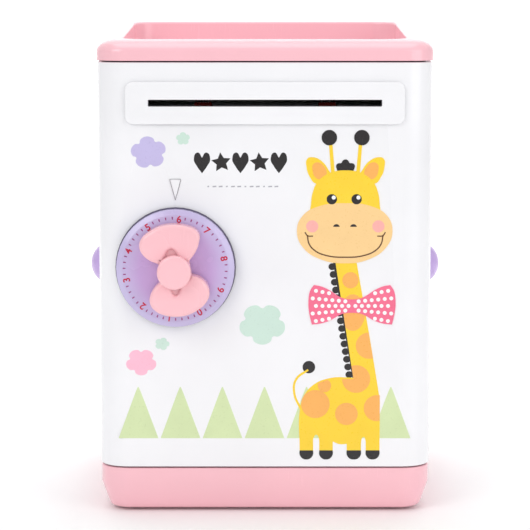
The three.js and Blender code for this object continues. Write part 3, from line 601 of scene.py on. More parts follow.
# ---- shells -----------------------------------------------------------------------------------

class BANK_OT_shells(BankPart, bpy.types.Operator):
    """Moulded shells: case, base, lid, door and slot frame"""
    bl_idname = "bank.shells"
    bl_label = "Shells"

    def make(self, scene):
        sizes = scene.bank_shell
        white = gloss("white_abs", sizes.white, 0.2)
        pink = gloss("pink_abs", sizes.pink, 0.22)
        for node in ("case_shell", "door_panel"):
            refined(node, white, sizes.edge)
        self.slot_frame(white, sizes.seam_edge)
        refined("base_tray", pink, sizes.edge)
        lid = refined("lid_cover", pink, 0, angle=50)
        even = lid.modifiers.new("Even shading", "WEIGHTED_NORMAL")
        even.weight = 80
        even.keep_sharp = True

    def slot_frame(self, white, rounding):
        """A plate round the note slot, with the sleeve that lines the slot behind it."""
        low, high, middle = box_mm("slot_bezel")
        half = (high - low) / 2
        face = at(middle[0], low[1], middle[2]) @ FRONT_VIEW
        slot_x, slot_z, sleeve, plate = 47.0, 1.35, 1.2, 1.2
        overlap = 0.6 * plate
        outline = rounded_box(half[0], half[2], 3.2)
        slot = rounded_box(slot_x, slot_z, 0.4, 3)
        front = flat(outline, plate, face, rounding=rounding * 0.7, hole=slot)
        lining = rounded_box(slot_x + sleeve, slot_z + sleeve, 1.0, 3)
        bore = rounded_box(slot_x + 0.02, slot_z + 0.02, 0.4, 3)
        tube = flat(lining, 2 * half[1] - overlap, face @ at(0, 0, -overlap), hole=bore)
        add_piece("slot_bezel_frame", merged(front, tube), "door", [white], ["slot_bezel"])


class BANK_OT_side_domes(BankPart, bpy.types.Operator):
    """Domed caps on the two sides"""
    bl_idname = "bank.side_domes"
    bl_label = "Side domes"

    def make(self, scene):
        finish = gloss("lavender_abs", scene.bank_shell.lavender, 0.22)
        stud = 3.0
        steps = 10
        seat = box_mm("case_shell")[1][0] + TRIM_GAP
        for word, sign in (("left", -1), ("right", 1)):
            node = "side_cap_" + word
            low, high, middle = box_mm(node)
            inner, outer = (low[0], high[0]) if sign > 0 else (-high[0], -low[0])
            radius = (high[2] - low[2]) / 2
            proud = outer - seat
            ball = (radius ** 2 + proud ** 2) / (2 * proud)
            start = math.asin((ball - proud) / ball)
            turns = [start + (math.pi / 2 - start) * i / steps for i in range(steps)]
            dome = [(ball * math.cos(a), ball * math.sin(a) - (ball - proud)) for a in turns]
            rim = [(radius - 0.35, 0), (radius, 0.3)] + [p for p in dome if p[1] > 0.5]
            profile = [(0, inner - seat), (stud, inner - seat), (stud, 0)] + rim + [(0, proud)]
            place = at(sign * seat, middle[1], middle[2]) @ Matrix.Rotation(sign * math.pi / 2, 4, "Y")
            add_piece(node + "_dome", turned(profile, place, 64), BODY_OF[node], [finish], [node])


# ---- dial, figures and bow handle -------------------------------------------------------------

# Each figure with its clockwise angle from the top, in degrees.
FIGURES = (
    (6, 4.65), (7, 39.5), (8, 78), (9, 115), (0, 151), (1, 187), (2, 221), (3, 257), (4, 291), (5, 327),
)
DIAL_INK = 0.12  # thickness of the dial's prints, in millimetres


def on_dial(angle, share):
    """A place on the dial's face at a clockwise angle, with its top outwards."""
    proud = 0.03
    turn = Matrix.Rotation(math.radians(-angle), 4, "Z")
    face = at(DIAL_X, DIAL_FRONT, DIAL_Z) @ FRONT_VIEW
    return face @ turn @ at(0, share * DIAL_RADIUS, proud)


class BANK_OT_dial(BankPart, bpy.types.Operator):
    """Combination dial with its figures, ticks and edge ring"""
    bl_idname = "bank.dial"
    bl_label = "Dial"

    def make(self, scene):
        sizes = scene.bank_dial
        # The dial's finish paints a highlight that makes its rim paler.
        refined("dial_disc", dial_finish("dial_lavender", sizes.middle, sizes.rim), 0.35, 3, 30)
        refined("dial_ring", satin("edge_ring_abs", sizes.edge_ring, 0.35), 0.15)
        figures = [
            lettering(str(figure), sizes.figure_height, on_dial(angle, sizes.figure_share), DIAL_INK, 0.1)
            for figure, angle in FIGURES
        ]
        add_piece("dial_figures", merged(*figures), "dial", [ink("figure_ink", sizes.figures)])
        tick = [(-0.2, -0.55, 0), (0.2, -0.55, 0), (0.3, 0.55, 0), (-0.3, 0.55, 0)]
        ticks = []
        for (_, start), (_, end) in zip(FIGURES, FIGURES[1:] + FIGURES[:1]):
            span = (end - start) % 360
            for i in range(1, 5):
                ticks.append(flat(tick, DIAL_INK, on_dial(start + span * i / 5, sizes.tick_share)))
        add_piece("dial_ticks", merged(*ticks), "dial", [ink("tick_ink", sizes.ticks)])


# The loops' outline as the handle stands, from the knot's middle.
UPPER_LOOP = (
    (-6.4, 2.9, 0), (-10.4, 4.7), (-13.1, 7.4), (-14.0, 10.4), (-13.3, 12.9), (-10.6, 15.5), (-6.3, 17.9),
    (-2.9, 18.7), (1.0, 18.8), (5.3, 18.1), (8.4, 16.8), (10.1, 14.3), (9.9, 11.5), (8.5, 7.8), (5.9, 4.2, 0),
)
LOWER_LOOP = (
    (6.9, -1.5, 0), (10.0, -2.5), (12.5, -4.6), (13.9, -7.6), (13.9, -9.9), (12.4, -12.9), (9.5, -15.5),
    (5.3, -17.6), (0.1, -18.3), (-4.1, -17.7), (-7.6, -16.0), (-9.6, -13.5), (-9.9, -10.6), (-8.4, -7.1),
    (-5.4, -4.0, 0),
)
UPPER_FOLD = ((1.2, 4.0, 0), (0.9, 6.6), (-1.3, 8.9), (-3.4, 6.4), (-3.9, 3.6, 0))
LOWER_FOLD = ((-1.2, -5.0, 0), (-1.0, -7.4), (0.4, -9.4), (1.9, -7.4), (2.2, -5.0, 0))


class BANK_OT_bow(BankPart, bpy.types.Operator):
    """Bow-shaped handle: two pillowed loops with folds, and a round knot"""
    bl_idname = "bank.bow"
    bl_label = "Bow handle"

    def make(self, scene):
        sizes = scene.bank_bow
        pink = gloss("bow_abs", sizes.pink, 0.26)
        low, high, _ = box_mm("bow_loops")
        front = at(DIAL_X, low[1], DIAL_Z) @ FRONT_VIEW
        depth = high[1] - low[1]
        under = front @ at(0, 0, -sizes.fold)
        base = flat(UPPER_LOOP + LOWER_LOOP, depth - sizes.fold, under, rounding=0.6, offset=-0.05, steps=8)
        layer = depth * 0.6
        upper = flat(UPPER_LOOP + UPPER_FOLD, layer, front, rounding=sizes.rounding, steps=8)
        lower = flat(LOWER_LOOP + LOWER_FOLD, layer, front, rounding=sizes.rounding, steps=8)
        loops = merged(base, upper, lower)
        add_piece("bow_loops_pillowed", loops, "handle", [pink], ["bow_loops"], angle=40)
        low, high, _ = box_mm("bow_knot")
        radius = (high[0] - low[0]) / 2
        height = high[1] - low[1]
        face = [(0.55 * radius, height), (0, height)]
        profile = [(0, 0), (radius, 0)] + arc(radius, height, sizes.knot_rounding, 6) + face
        knot = turned(profile, at(DIAL_X, high[1], DIAL_Z) @ FRONT_VIEW, 72)
        add_piece("bow_knot_button", knot, "handle", [pink], ["bow_knot"])


# ---- prints on the door -----------------------------------------------------------------------

class Print:
    """Plates of ink on the door's face. Places are from the door's middle and up from its lower edge."""

    def __init__(self, name, settings, inks):
        self.name = name
        self.settings = settings
        self.inks = inks
        self.parts = []

    def face(self, layer):
        """The top of a layer of ink."""
        proud = self.settings.step * (layer + 1)
        return at(0, DOOR_FACE, DOOR_FOOT) @ FRONT_VIEW @ at(0, 0, proud)

    def fill(self, layer, colour, points, cuts=()):
        """Fills an outline. Each cut is a place on a line and the direction that is cut away from it."""
        depth = self.settings.sink + self.settings.step * (layer + 1)
        shape = flat(points, depth, self.face(layer), self.inks.index(colour))
        for (x, up), (nx, nup) in cuts:
            kept = shape.verts[:] + shape.edges[:] + shape.faces[:]
            trimmed = bmesh.ops.bisect_plane(
                shape, geom=kept, plane_co=(x, 0, DOOR_FOOT + up), plane_no=(nx, 0, nup), clear_outer=True,
            )
            rim = [e for e in trimmed["geom_cut"] if isinstance(e, bmesh.types.BMEdge)]
            bmesh.ops.contextual_create(shape, geom=rim, mat_nr=self.inks.index(colour))
        self.parts.append(shape)

    def line(self, layer, colour, points, width):
        self.parts.append(stroke(points, width, self.face(layer), self.inks.index(colour)))

    def finish(self, colours):
        finishes = [colours[name] for name in self.inks]
        add_piece(self.name, merged(*self.parts), "door", finishes, angle=30)


def print_inks(settings, *names):
    """Inks by name, in the colours of the settings."""
    return {name: ink(name + "_ink", getattr(settings, name)) for name in names}


def blossom(x, up, width, height, turn):
    """The outline of a flower with five round petals."""
    petals, depth = 5, 0.24
    points = []
    steps = 6 * petals
    for i in range(steps):
        angle = 2 * math.pi * i / steps
        reach = 1 - depth + depth * abs(math.cos(petals * angle / 2)) ** 0.7
        away = angle + math.radians(turn)
        points.append((x + width / 2 * reach * math.cos(away), up + height / 2 * reach * math.sin(away)))
    return points


class BANK_OT_garden(BankPart, bpy.types.Operator):
    """Printed flowers and the row of trees"""
    bl_idname = "bank.garden"
    bl_label = "Flowers and trees"

    def make(self, scene):
        s = scene.bank_print
        colours = print_inks(s, "lilac", "mint", "rose", "tree")
        flowers = Print("print_flowers", s, ["lilac", "mint", "rose"])
        for colour, x, up, width, height, turn in (
            ("lilac", -46.9, 129.2, 14.4, 13.0, 25), ("mint", -33.0, 134.8, 5.6, 5.2, 20),
            ("mint", -1.1, 59.3, 19.0, 17.0, -18), ("mint", -41.9, 51.1, 6.0, 5.2, 0),
            ("rose", -50.5, 43.6, 12.6, 11.0, -18),
        ):
            flowers.fill(0, colour, blossom(x, up, width, height, turn))
        flowers.finish(colours)
        trees = Print("print_trees", s, ["tree"])
        first, pitch, half_width, foot, top = -51.8, 17.2, 8.15, 11.96, 33.3
        for i in range(7):
            x = first + pitch * i
            tip = [(x + 0.35, top - 0.4), (x, top), (x - 0.35, top - 0.4)]
            trees.fill(0, "tree", [(x - half_width, foot, 0), (x + half_width, foot, 0)] + tip)
        trees.finish(colours)


def star(x, up, radius, turn):
    """A five-pointed star's corners."""
    points = []
    for i in range(10):
        angle = math.radians(90 + turn + 36 * i)
        reach = radius if i % 2 == 0 else 0.5 * radius
        points.append((x + reach * math.cos(angle), up + reach * math.sin(angle), 0))
    return points


def heart(x, up, width, height):
    """A heart's outline, with corners at its foot and its notch."""
    right = [(0.62, -0.32), (1, 0.35), (0.55, 1.0)]
    left = [(-across, rise) for across, rise in reversed(right)]
    shape = [(0, -1, 0), *right, (0, 0.5, 0), *left]
    return [(x + p[0] * width / 2, up + p[1] * height / 2, *p[2:]) for p in shape]


class BANK_OT_motif(BankPart, bpy.types.Operator):
    """Row of dark hearts and stars over a row of grey dashes"""
    bl_idname = "bank.motif"
    bl_label = "Motif"

    def make(self, scene):
        s = scene.bank_print
        colours = print_inks(s, "dark", "grey")
        motif = Print("print_motif", s, ["dark", "grey"])
        first, pitch = -25.4, 7.75
        for i in range(5):
            x = first + pitch * i
            if i % 2 == 0:
                motif.fill(0, "dark", heart(x, 125.0, 6.6, 8.4))
            else:
                motif.fill(0, "dark", star(x, 125.2, 4.1, 6))
        first, pitch, long_half, short_half = -22.9, 2.5, 0.75, 0.35
        for i in range(12):
            x = first + pitch * i
            half = long_half if i % 3 else short_half
            motif.line(0, "grey", [(x - half, 115.4), (x + half, 115.5)], 0.55)
        motif.finish(colours)


class BANK_OT_giraffe(BankPart, bpy.types.Operator):
    """Printed giraffe with a dotted bow tie"""
    bl_idname = "bank.giraffe"
    bl_label = "Giraffe"

    def make(self, scene):
        s = scene.bank_print
        colours = print_inks(s, "yellow", "patch", "muzzle", "cheek", "mouth", "tie")
        colours["dark"] = ink("giraffe_dark_ink", s.dark)
        colours["white"] = ink("white_ink", (0.95, 0.95, 0.95))
        for name, draw, inks in (
            ("print_giraffe_body", self.body, "yellow patch dark"),
            ("print_giraffe_head", self.head, "yellow patch muzzle cheek dark white mouth"),
            ("print_bow_tie", self.tie, "tie white"),
        ):
            layers = Print(name, s, inks.split())
            draw(layers)
            layers.finish(colours)

    def body(self, p):
        neck_left, neck_right = (28.6, 84.3), (37.2, 84.3)
        chest_left, chest_right = (36.1, 36.5), (46.15, 32.8)
        p.line(1, "yellow", [(17.6, 40.4), (12.7, 36.4), (11.9, 31.0), (14.9, 23.5)], 0.9)
        p.fill(2, "dark", circle(17.9, 41.5, 2.55))
        p.fill(1, "dark", [(27.5, 85, 0), (29.0, 85, 0), (36.9, 35.9, 0), (35.8, 36.2, 0)])
        tufts = 15
        for i in range(tufts):
            share = (i + 0.5) / tufts
            layer = 2 + 0.4 * (i % 2)
            p.fill(layer, "dark", circle(27.0 + 7.6 * share, 84.4 - 47.6 * share, 1.5, 8, 0.93))
        p.fill(3, "yellow", [
            (14.2, 8.4, 0), (14.2, 23.7), (15.7, 29.3), (19.8, 34.2), (26.7, 37.0), (34.0, 37.2),
            (40.0, 36.5), (44.6, 34.0), (46.6, 29.5), (46.9, 23.0), (46.9, 8.4, 0), (41.3, 8.4, 0),
            (41.0, 11.6), (40.4, 12.5), (39.6, 11.6), (39.3, 9.6, 0), (33.5, 9.6, 0), (30.5, 9.5),
            (27.75, 10.6, 0), (22.25, 10.6, 0), (21.9, 12.4), (21.0, 13.4), (20.0, 12.4), (19.7, 8.4, 0),
        ])
        p.fill(4, "yellow", [
            (*neck_left, 0), (*neck_right, 0), (42.6, 54.0, 0), (*chest_right, 0), (46.8, 28.5, 0),
            (36.0, 28.5, 0), (*chest_left, 0),
        ])
        for low, high in ((14.2, 19.7), (22.25, 27.75), (33.5, 39.3), (41.3, 46.9)):
            p.fill(4, "yellow", [(low, 6.7, 0), (high, 6.7, 0), (high, 14, 0), (low, 14, 0)])
            p.fill(5, "dark", [
                (low, 6.9, 0), (high, 6.9, 0), (high, 5.2), (high - 1.2, 3.5), ((low + high) / 2, 3.1),
                (low + 1.2, 3.5), (low, 5.2),
            ])
        left_edge = (neck_left, (chest_left[1] - neck_left[1], neck_left[0] - chest_left[0]))
        right_edge = (neck_right, (neck_right[1] - chest_right[1], chest_right[0] - neck_right[0]))
        flank = ((46.9, 20), (1, 0))
        back = ((20.0, 34.3), (-0.34, 0.94))
        for x, up, radius, squash, cuts in (
            (34.7, 77.3, 3.3, 1, [right_edge]), (35.7, 64.0, 5.0, 1.5, [left_edge, right_edge]),
            (42.4, 50.4, 5.4, 1, [right_edge]), (37.2, 36.6, 5.7, 1, [left_edge]), (20.6, 26.2, 5.8, 1, []),
            (33.3, 22.1, 4.6, 1, []), (45.8, 24.5, 5.4, 1, [flank]), (24.3, 33.8, 2.7, 1, [back]),
        ):
            p.fill(5, "patch", circle(x, up, radius, 12, squash), cuts)
        p.fill(5.4, "patch", circle(37.2, 36.6, 5.7, 12), [((0, 36.6), (0, 1))])

    def head(self, p):
        middle = 32.45
        for sign in (-1, 1):
            def side(x, up, *corner):
                return (middle + sign * x, up, *corner)
            p.fill(6, "yellow", [
                side(4.2, 119.6, 0), side(5.7, 119.6, 0), side(6.9, 135, 0), side(5.5, 135, 0),
            ])
            p.fill(7, "dark", circle(middle + sign * 6.55, 135.2, 3.1))
            p.fill(6, "yellow", [
                side(6.0, 119.5), side(7.1, 122.6), side(9.7, 125.8), side(13.1, 127.3), side(15.4, 126.7),
                side(15.7, 123.3), side(14.4, 119.4), side(11.8, 116.6),
            ])
            p.fill(7, "patch", [
                side(7.6, 120.6), side(8.8, 123.8), side(10.9, 125.2), side(12.9, 124.6), side(13.3, 122.2),
                side(11.8, 118.9), side(9.0, 118.6),
            ])
        p.fill(7.4, "dark", circle(middle, 124.9, 1.5))
        for x in (-2.5, 2.5):
            p.fill(7, "dark", circle(middle + x, 123.6, 1.3))
        p.fill(6.4, "dark", [(29.6, 121.0, 0), (35.3, 121.0, 0), (35.9, 123.8), (29.0, 123.8)])
        crown = ((13.7, 104.0), (13.85, 108.6), (13.2, 113.0), (11.2, 117.4), (7.6, 120.4), (3.8, 121.7))
        p.fill(8, "yellow", [
            *[(middle - x, up) for x, up in crown], (middle, 122.0),
            *[(middle + x, up) for x, up in reversed(crown)], (middle, 98.0),
        ])
        p.fill(9, "muzzle", [
            (12.9, 97.2), (15.2, 103.6), (22.6, 107.7), (middle, 108.7), (42.2, 107.7), (49.4, 103.6),
            (51.6, 97.2), (49.0, 90.6), (42.0, 85.8), (middle, 84.2), (22.6, 85.8), (15.4, 90.6),
        ])
        for x in (27.0, 37.0):
            p.fill(10, "dark", circle(x, 110.3, 2.07))
            p.fill(11, "white", circle(x + 0.75, 111.0, 0.8))
        for x in (19.1, 45.9):
            p.fill(10, "cheek", circle(x, 99.3, 2.45))
        for x in (28.9, 35.8):
            p.fill(10, "dark", circle(x, 98.9, 1.35, 10, 0.95), [((x, 99.1), (0, -1))])
        smile = ((15.3, 95.5), (14.6, 92.2), (12.5, 89.6), (8.0, 87.5))
        p.line(10, "mouth", [
            *[(middle - x, up) for x, up in smile], (middle, 86.7),
            *[(middle + x, up) for x, up in reversed(smile)],
        ], 0.55)
        corner = ((16.3, 96.9), (15.2, 95.5), (13.0, 95.3))
        for sign in (-1, 1):
            p.line(10.4, "mouth", [(middle + sign * x, up) for x, up in corner], 0.5)

    def tie(self, p):
        middle, up = 35.35, 66.6
        first, pitch, stagger, last, dot = 1.4, 2.65, 1.3, 16.6, 0.8
        for sign in (-1, 1):
            def wing(x, rise, *corner):
                return (middle + sign * x, up + rise, *corner)
            p.fill(12.2 + 0.3 * sign, "tie", [
                wing(-1.5, 2.7, 0), wing(3.8, 3.4), wing(9.9, 7.0), wing(12.8, 8.2), wing(15.5, 8.7, 0),
                wing(17.0, 6.4), wing(17.7, 2.0), wing(17.4, -2.6), wing(16.3, -7.5, 0), wing(12.8, -7.1),
                wing(9.3, -6.0), wing(3.8, -3.1), wing(-1.5, -2.6, 0),
            ])
            for i in range(7):
                spread = 1.9 + 0.24 * i
                for j in range(-2, 3):
                    x = first + pitch * i + (stagger if j % 2 else 0)
                    half_wing = max(2.3, 0.6 + 0.56 * x)
                    if x < last and abs(j * spread) < half_wing:
                        p.fill(13.2, "white", circle(middle + sign * x, up + j * spread + 0.15, dot, 6))


# ---- inside the door and the case -------------------------------------------------------------

class BANK_OT_lock(BankPart, bpy.types.Operator):
    """Combination lock: case, wheels, fence, cam, bolt and strike"""
    bl_idname = "bank.lock"
    bl_label = "Lock"

    def make(self, scene):
        inner = satin("inner_abs", srgb(222, 222, 228), 0.42, 0.4, 0.015)
        wheel = satin("wheel_abs", srgb(233, 225, 205), 0.36, 0.4, 0.01)
        plated = metal("plated_steel", (0.62, 0.63, 0.66), 0.26, (0.05, 1, 1))
        for node in ("lock_case", "lock_cam", "fence_lever"):
            refined(node, inner, 0.2)
        for node in ("drive_wheel", "code_wheel_front", "code_wheel_rear"):
            refined(node, wheel, 0.15)
        for node in ("lock_bolt", "strike_plate", "knob_shaft"):
            refined(node, plated, 0.2)


class BANK_OT_feed(BankPart, bpy.types.Operator):
    """Note feed: frame, guide, shafts, rollers, gears and motor"""
    bl_idname = "bank.feed"
    bl_label = "Note feed"

    def make(self, scene):
        inner = satin("feed_abs", srgb(214, 214, 221), 0.42, 0.4, 0.015)
        acetal = satin("gear_acetal", srgb(244, 240, 226), 0.3, 0.3, 0.006)
        steel = metal("shaft_steel", (0.66, 0.67, 0.69), 0.2, (0.02, 1, 1))
        can = metal("motor_zinc", (0.55, 0.56, 0.58), 0.34, (0.03, 1, 1))
        grip = rubber("roller_rubber", srgb(158, 48, 40))
        for node in ("feed_frame", "bill_guide", "coin_chute"):
            refined(node, inner, 0.2)
        for node in ("drive_gear", "idler_gear", "motor_pinion"):
            refined(node, acetal, 0.1, angle=50)
        for node in ("feed_shaft", "pinch_shaft", "idler_axle"):
            refined(node, steel, 0.15)
        refined("motor", can, 0.4, 3)
        self.motor_trim(inner)
        for kind in ("feed", "pinch"):
            for word in ("left", "right"):
                self.roller(f"{kind}_roller_{word}", kind, grip, inner)

    def roller(self, node, kind, grip, hub):
        """A rubber tyre with five grooves on a moulded hub."""
        low, high, middle = box_mm(node)
        radius = (high[2] - low[2]) / 2
        half = (high[0] - low[0]) / 2
        bore = 1.9 if kind == "feed" else 1.6
        tyre = 0.72 * radius
        round_off, land, grooves = 0.4, 0.8, 5
        pitch = (2 * half - 2 * land) / grooves
        floor = radius - 0.35
        profile = [(tyre, -half + 0.3), (radius - round_off, -half), (radius, -half + round_off)]
        for i in range(grooves):
            start = -half + land + pitch * (i + 0.25)
            profile += [(radius, start), (floor, start + 0.15), (floor, start + 0.45), (radius, start + 0.6)]
        profile += [(radius, half - round_off), (radius - round_off, half), (tyre, half - 0.3)]
        profile.append(profile[0])
        place = at(*middle) @ Matrix.Rotation(math.pi / 2, 4, "Y")
        body = BODY_OF[node]
        add_piece(node + "_tyre", turned(profile, place), body, [grip], [node])
        rim = [(bore, -half), (tyre + 0.05, -half), (tyre + 0.05, half), (bore, half), (bore, -half)]
        add_piece(node + "_hub", turned(rim, place, 32), body, [hub])

    def motor_trim(self, finish):
        """The motor's rear cap with two solder tags."""
        low, high, middle = box_mm("motor")
        radius = (high[1] - low[1]) / 2
        brass = metal("tag_brass", (0.72, 0.5, 0.18), 0.3)
        place = at(low[0] + 1.5, middle[1], middle[2]) @ Matrix.Rotation(-math.pi / 2, 4, "Y")
        bore, rim, sunk = 4.3, 0.7 * radius, -0.05
        profile = [(bore, sunk), (rim, sunk), (rim, 0.9), (0.62 * radius, 1.2), (bore, 1.2), (bore, sunk)]
        add_piece("motor_rear_cap", turned(profile, place, 40), "door", [finish])
        tags = []
        for side in (-1, 1):
            y = middle[1] + side * 5.6
            rear = (low[0] - 2.2, y - 0.25, middle[2] - 1.2)
            root = (low[0] + 0.6, y + 0.25, middle[2] + 1.2)
            tags.append(cuboid(rear, root, 0.12))
        add_piece("motor_tags", merged(*tags), "door", [brass])


class BANK_OT_electronics(BankPart, bpy.types.Operator):
    """Circuit board with its parts, speaker, battery box, cover, switch and cells"""
    bl_idname = "bank.electronics"
    bl_label = "Electronics"

    def make(self, scene):
        black = satin("black_abs", srgb(44, 44, 48), 0.45, 0.5, 0.02)
        pale = satin("switch_abs", srgb(228, 228, 232), 0.4, 0.4, 0.01)
        refined("battery_box", black, 0.25)
        refined("power_switch", pale, 0.3)
        self.cover(black)
        self.board()
        self.speaker(black)
        blue, gold = srgb(34, 60, 120), srgb(206, 150, 60)
        for word, flip in (("lower", False), ("middle", True), ("upper", False)):
            node = "aa_cell_" + word
            low, high, _ = box_mm(node)
            finish = cell_finish("cell_sleeve_" + word, blue, gold, low[0], high[0], flip)
            refined(node, finish, 0.35, 3)

    def cover(self, black):
        """The cover, with a row of thumb ribs by its notch."""
        refined("battery_cover", black, 0.3)
        _, high, middle = box_mm("battery_cover")
        half_width, half_height, pitch = 0.4, 7, 1.8
        ribs = []
        for i in range(6):
            x = high[0] - 20 - pitch * i
            z = middle[2]
            low_end = (x - half_width, high[1] - 0.3, z - half_height)
            high_end = (x + half_width, high[1] + 0.45, z + half_height)
            ribs.append(cuboid(low_end, high_end, 0.25))
        add_piece("battery_cover_ribs", merged(*ribs), "cover", [black])

    def board(self):
        """The lacquered board with a chip, its legs, a row of pads, a capacitor and a plug socket."""
        low, high, (middle_x, _, middle_z) = box_mm("circuit_board")
        face = low[1] + 1.6
        foot = face - 0.05
        lacquer = board_finish("green_board", srgb(34, 104, 62))
        epoxy = satin("epoxy_black", srgb(38, 38, 42), 0.4, 0.3, 0.01)
        tin = metal("tinned_legs", (0.7, 0.7, 0.72), 0.25)
        sleeve = gloss("capacitor_sleeve", srgb(40, 44, 78), 0.3)
        nylon = satin("socket_nylon", srgb(236, 232, 220), 0.35, 0.3, 0.01)
        plate = cuboid(low, (high[0], face, high[2]), 0.15)
        chip_x, chip_z = 6, 3.6
        chip = cuboid(
            (middle_x - chip_x, face + 0.3, middle_z - chip_z),
            (middle_x + chip_x, face + 2.6, middle_z + chip_z), 0.3,
        )
        legs = []
        for i in range(8):
            x = middle_x - 5.2 + 1.49 * i
            for side in (-1, 1):
                z = middle_z + side * 4.2
                legs.append(cuboid((x - 0.25, foot, z - 0.75), (x + 0.25, face + 1.0, z + 0.75), 0.1))
        for i in range(6):
            x = low[0] + 3 + 2.4 * i
            legs.append(cuboid((x - 0.6, foot, low[2] + 2.2), (x + 0.6, face + 0.5, low[2] + 3.4), 0.15))
        place = at(middle_x - 12, face, middle_z + 5) @ Matrix.Rotation(-math.pi / 2, 4, "X")
        crimp = [(0, -0.05), (2.9, -0.05), (2.9, 0.9), (2.75, 1.1), (3, 1.4)]
        can = turned(crimp + arc(3, 7.3, 0.4, 3) + [(2.2, 7.2), (0, 7.2)], place, 32)
        socket = cuboid((middle_x + 9, foot, middle_z - 9), (middle_x + 17, face + 5.9, middle_z - 3), 0.3)
        for name, shape, finish, nodes in (
            ("board_plate", plate, lacquer, ["circuit_board"]), ("board_chip", chip, epoxy, ()),
            ("board_legs", merged(*legs), tin, ()), ("board_capacitor", can, sleeve, ()),
            ("board_socket", socket, nylon, ()),
        ):
            add_piece(name, shape, "door", [finish], nodes)

    def speaker(self, black):
        """A paper cone in a roll surround, in a pressed basket with a magnet behind."""
        low, high, middle = box_mm("speaker")
        radius = (high[0] - low[0]) / 2
        place = at(middle[0], low[1], middle[2]) @ Matrix.Rotation(-math.pi / 2, 4, "X")
        plated = metal("basket_steel", (0.6, 0.6, 0.62), 0.3)
        paper = rubber("cone_paper", srgb(52, 50, 50), 0.3)
        basket = [
            (0.92 * radius, 0.2), (radius - 0.2, 0.0), (radius, 0.3), (radius, 2.3),
            (radius - 0.3, 2.5), (0.9 * radius, 2.7), (0.68 * radius, 6), (0.3 * radius, 6),
            (0.3 * radius, 5.2), (0.6 * radius, 5.2), (0.84 * radius, 2.0), (0.92 * radius, 0.2),
        ]
        add_piece("speaker_basket", turned(basket, place, 64), "door", [plated], ["speaker"])
        cone = [
            (0, 3.0), (0.22 * radius, 3.3), (0.24 * radius, 4.4), (0.72 * radius, 1.6), (0.77 * radius, 0.75),
            (0.83 * radius, 0.5), (0.88 * radius, 0.9), (0.93 * radius, 0.5),
        ]
        paper_back = [(r, h + 0.4) for r, h in reversed(cone)]
        sheet = turned(cone + paper_back + [cone[0]], place, 64)
        add_piece("speaker_cone", sheet, "door", [paper])
        side, front, rear = 0.5 * radius, 6.0, 10
        magnet = [(0, front), (side - 0.3, front), (side, front + 0.3), *arc(side, rear, 0.4, 3), (0, rear)]
        add_piece("speaker_magnet", turned(magnet, place, 48), "door", [black])


CORNERS = ("front_left", "front_right", "rear_left", "rear_right")
# Each row of screws with whether it stands upright, and the ends of its names.
SCREWS = {
    "base_screw_": (True, CORNERS),
    "lid_screw_": (True, CORNERS),
    "feed_screw_": (False, ("left", "right")),
    "lock_screw_": (False, ("upper", "lower")),
}


class BANK_OT_hardware(BankPart, bpy.types.Operator):
    """Cross-headed screws, hinge pins and rubber feet"""
    bl_idname = "bank.hardware"
    bl_label = "Screws, pins and feet"

    def make(self, scene):
        zinc = metal("screw_zinc", (0.66, 0.66, 0.7), 0.24)
        for stem, (upright, ends) in SCREWS.items():
            for end in ends:
                self.screw(stem + end, upright, zinc)
        for node in ("hinge_pin_lower", "hinge_pin_upper"):
            refined(node, zinc, 0.2)
        soft = rubber("foot_rubber", srgb(112, 110, 116))
        for corner in CORNERS:
            self.foot("foot_" + corner, soft)

    def screw(self, node, upright, finish):
        """A pan head with a cross recess, and a threaded shank. The head is at the foot or the rear."""
        low, high, middle = box_mm(node)
        radius = (high[0] - low[0]) / 2
        if upright:
            length = high[2] - low[2]
            place = at(middle[0], middle[1], low[2]) @ Matrix.Rotation(math.pi, 4, "X")
        else:
            length = high[1] - low[1]
            place = at(middle[0], high[1], middle[2]) @ Matrix.Rotation(-math.pi / 2, 4, "X")
        head, shank, core, pitch = 1.5, 1.2, 0.95, 0.8
        profile = [(0, -length), (0.35, -length), (core, -length + 1.2)]
        turns = int((length - head - 1.6) / pitch)
        for i in range(turns):
            start = -length + 1.3 + i * pitch
            thread = ((core, 0), (shank, 0.35), (shank, 0.45), (core, 0.8))
            profile += [(r, start + share * pitch) for r, share in thread]
        profile += [(core, -head), (radius - 0.15, -head), (radius, -head + 0.15), (radius, -0.75)]
        profile += [(0.86 * radius, -0.3), (0.6 * radius, -0.06), (0.3 * radius, 0), (0, 0)]
        arms = ((1.3, 0.25), (0.25, 1.3))
        cross = merged(*(cuboid((-x, -y, -0.8), (x, y, 0.5)) for x, y in arms))
        blank = linked("screw", meshed("screw", turned(profile, Matrix.Identity(4), 24)))
        cutter = linked("recess", meshed("recess", cross))
        recess = blank.modifiers.new("Recess", "BOOLEAN")
        recess.object = cutter
        recess.solver = "EXACT"
        recess.use_self = True
        meshes = (blank.data, cutter.data)
        shape = evaluated(blank)
        bpy.data.objects.remove(cutter)
        for mesh in meshes:
            bpy.data.meshes.remove(mesh)
        shape.transform(place)
        add_piece(node + "_cross_head", shape, BODY_OF[node], [finish], [node])

    def foot(self, node, finish):
        """A round foot with a rolled lower edge and a grip ring in its underside."""
        low, high, middle = box_mm(node)
        radius = (high[0] - low[0]) / 2
        height = high[2] - low[2]
        place = at(middle[0], middle[1], high[2]) @ Matrix.Rotation(math.pi, 4, "X")
        profile = [(0, 0), (radius, 0)] + arc(radius, height, 0.8, 4)
        profile += [(0.72 * radius, height), (0.68 * radius, height - 0.4), (0.55 * radius, height - 0.4)]
        profile += [(0.5 * radius, height), (0, height)]
        add_piece(node + "_grip", turned(profile, place, 40), BODY_OF[node], [finish], [node])


# ---- stage ------------------------------------------------------------------------------------

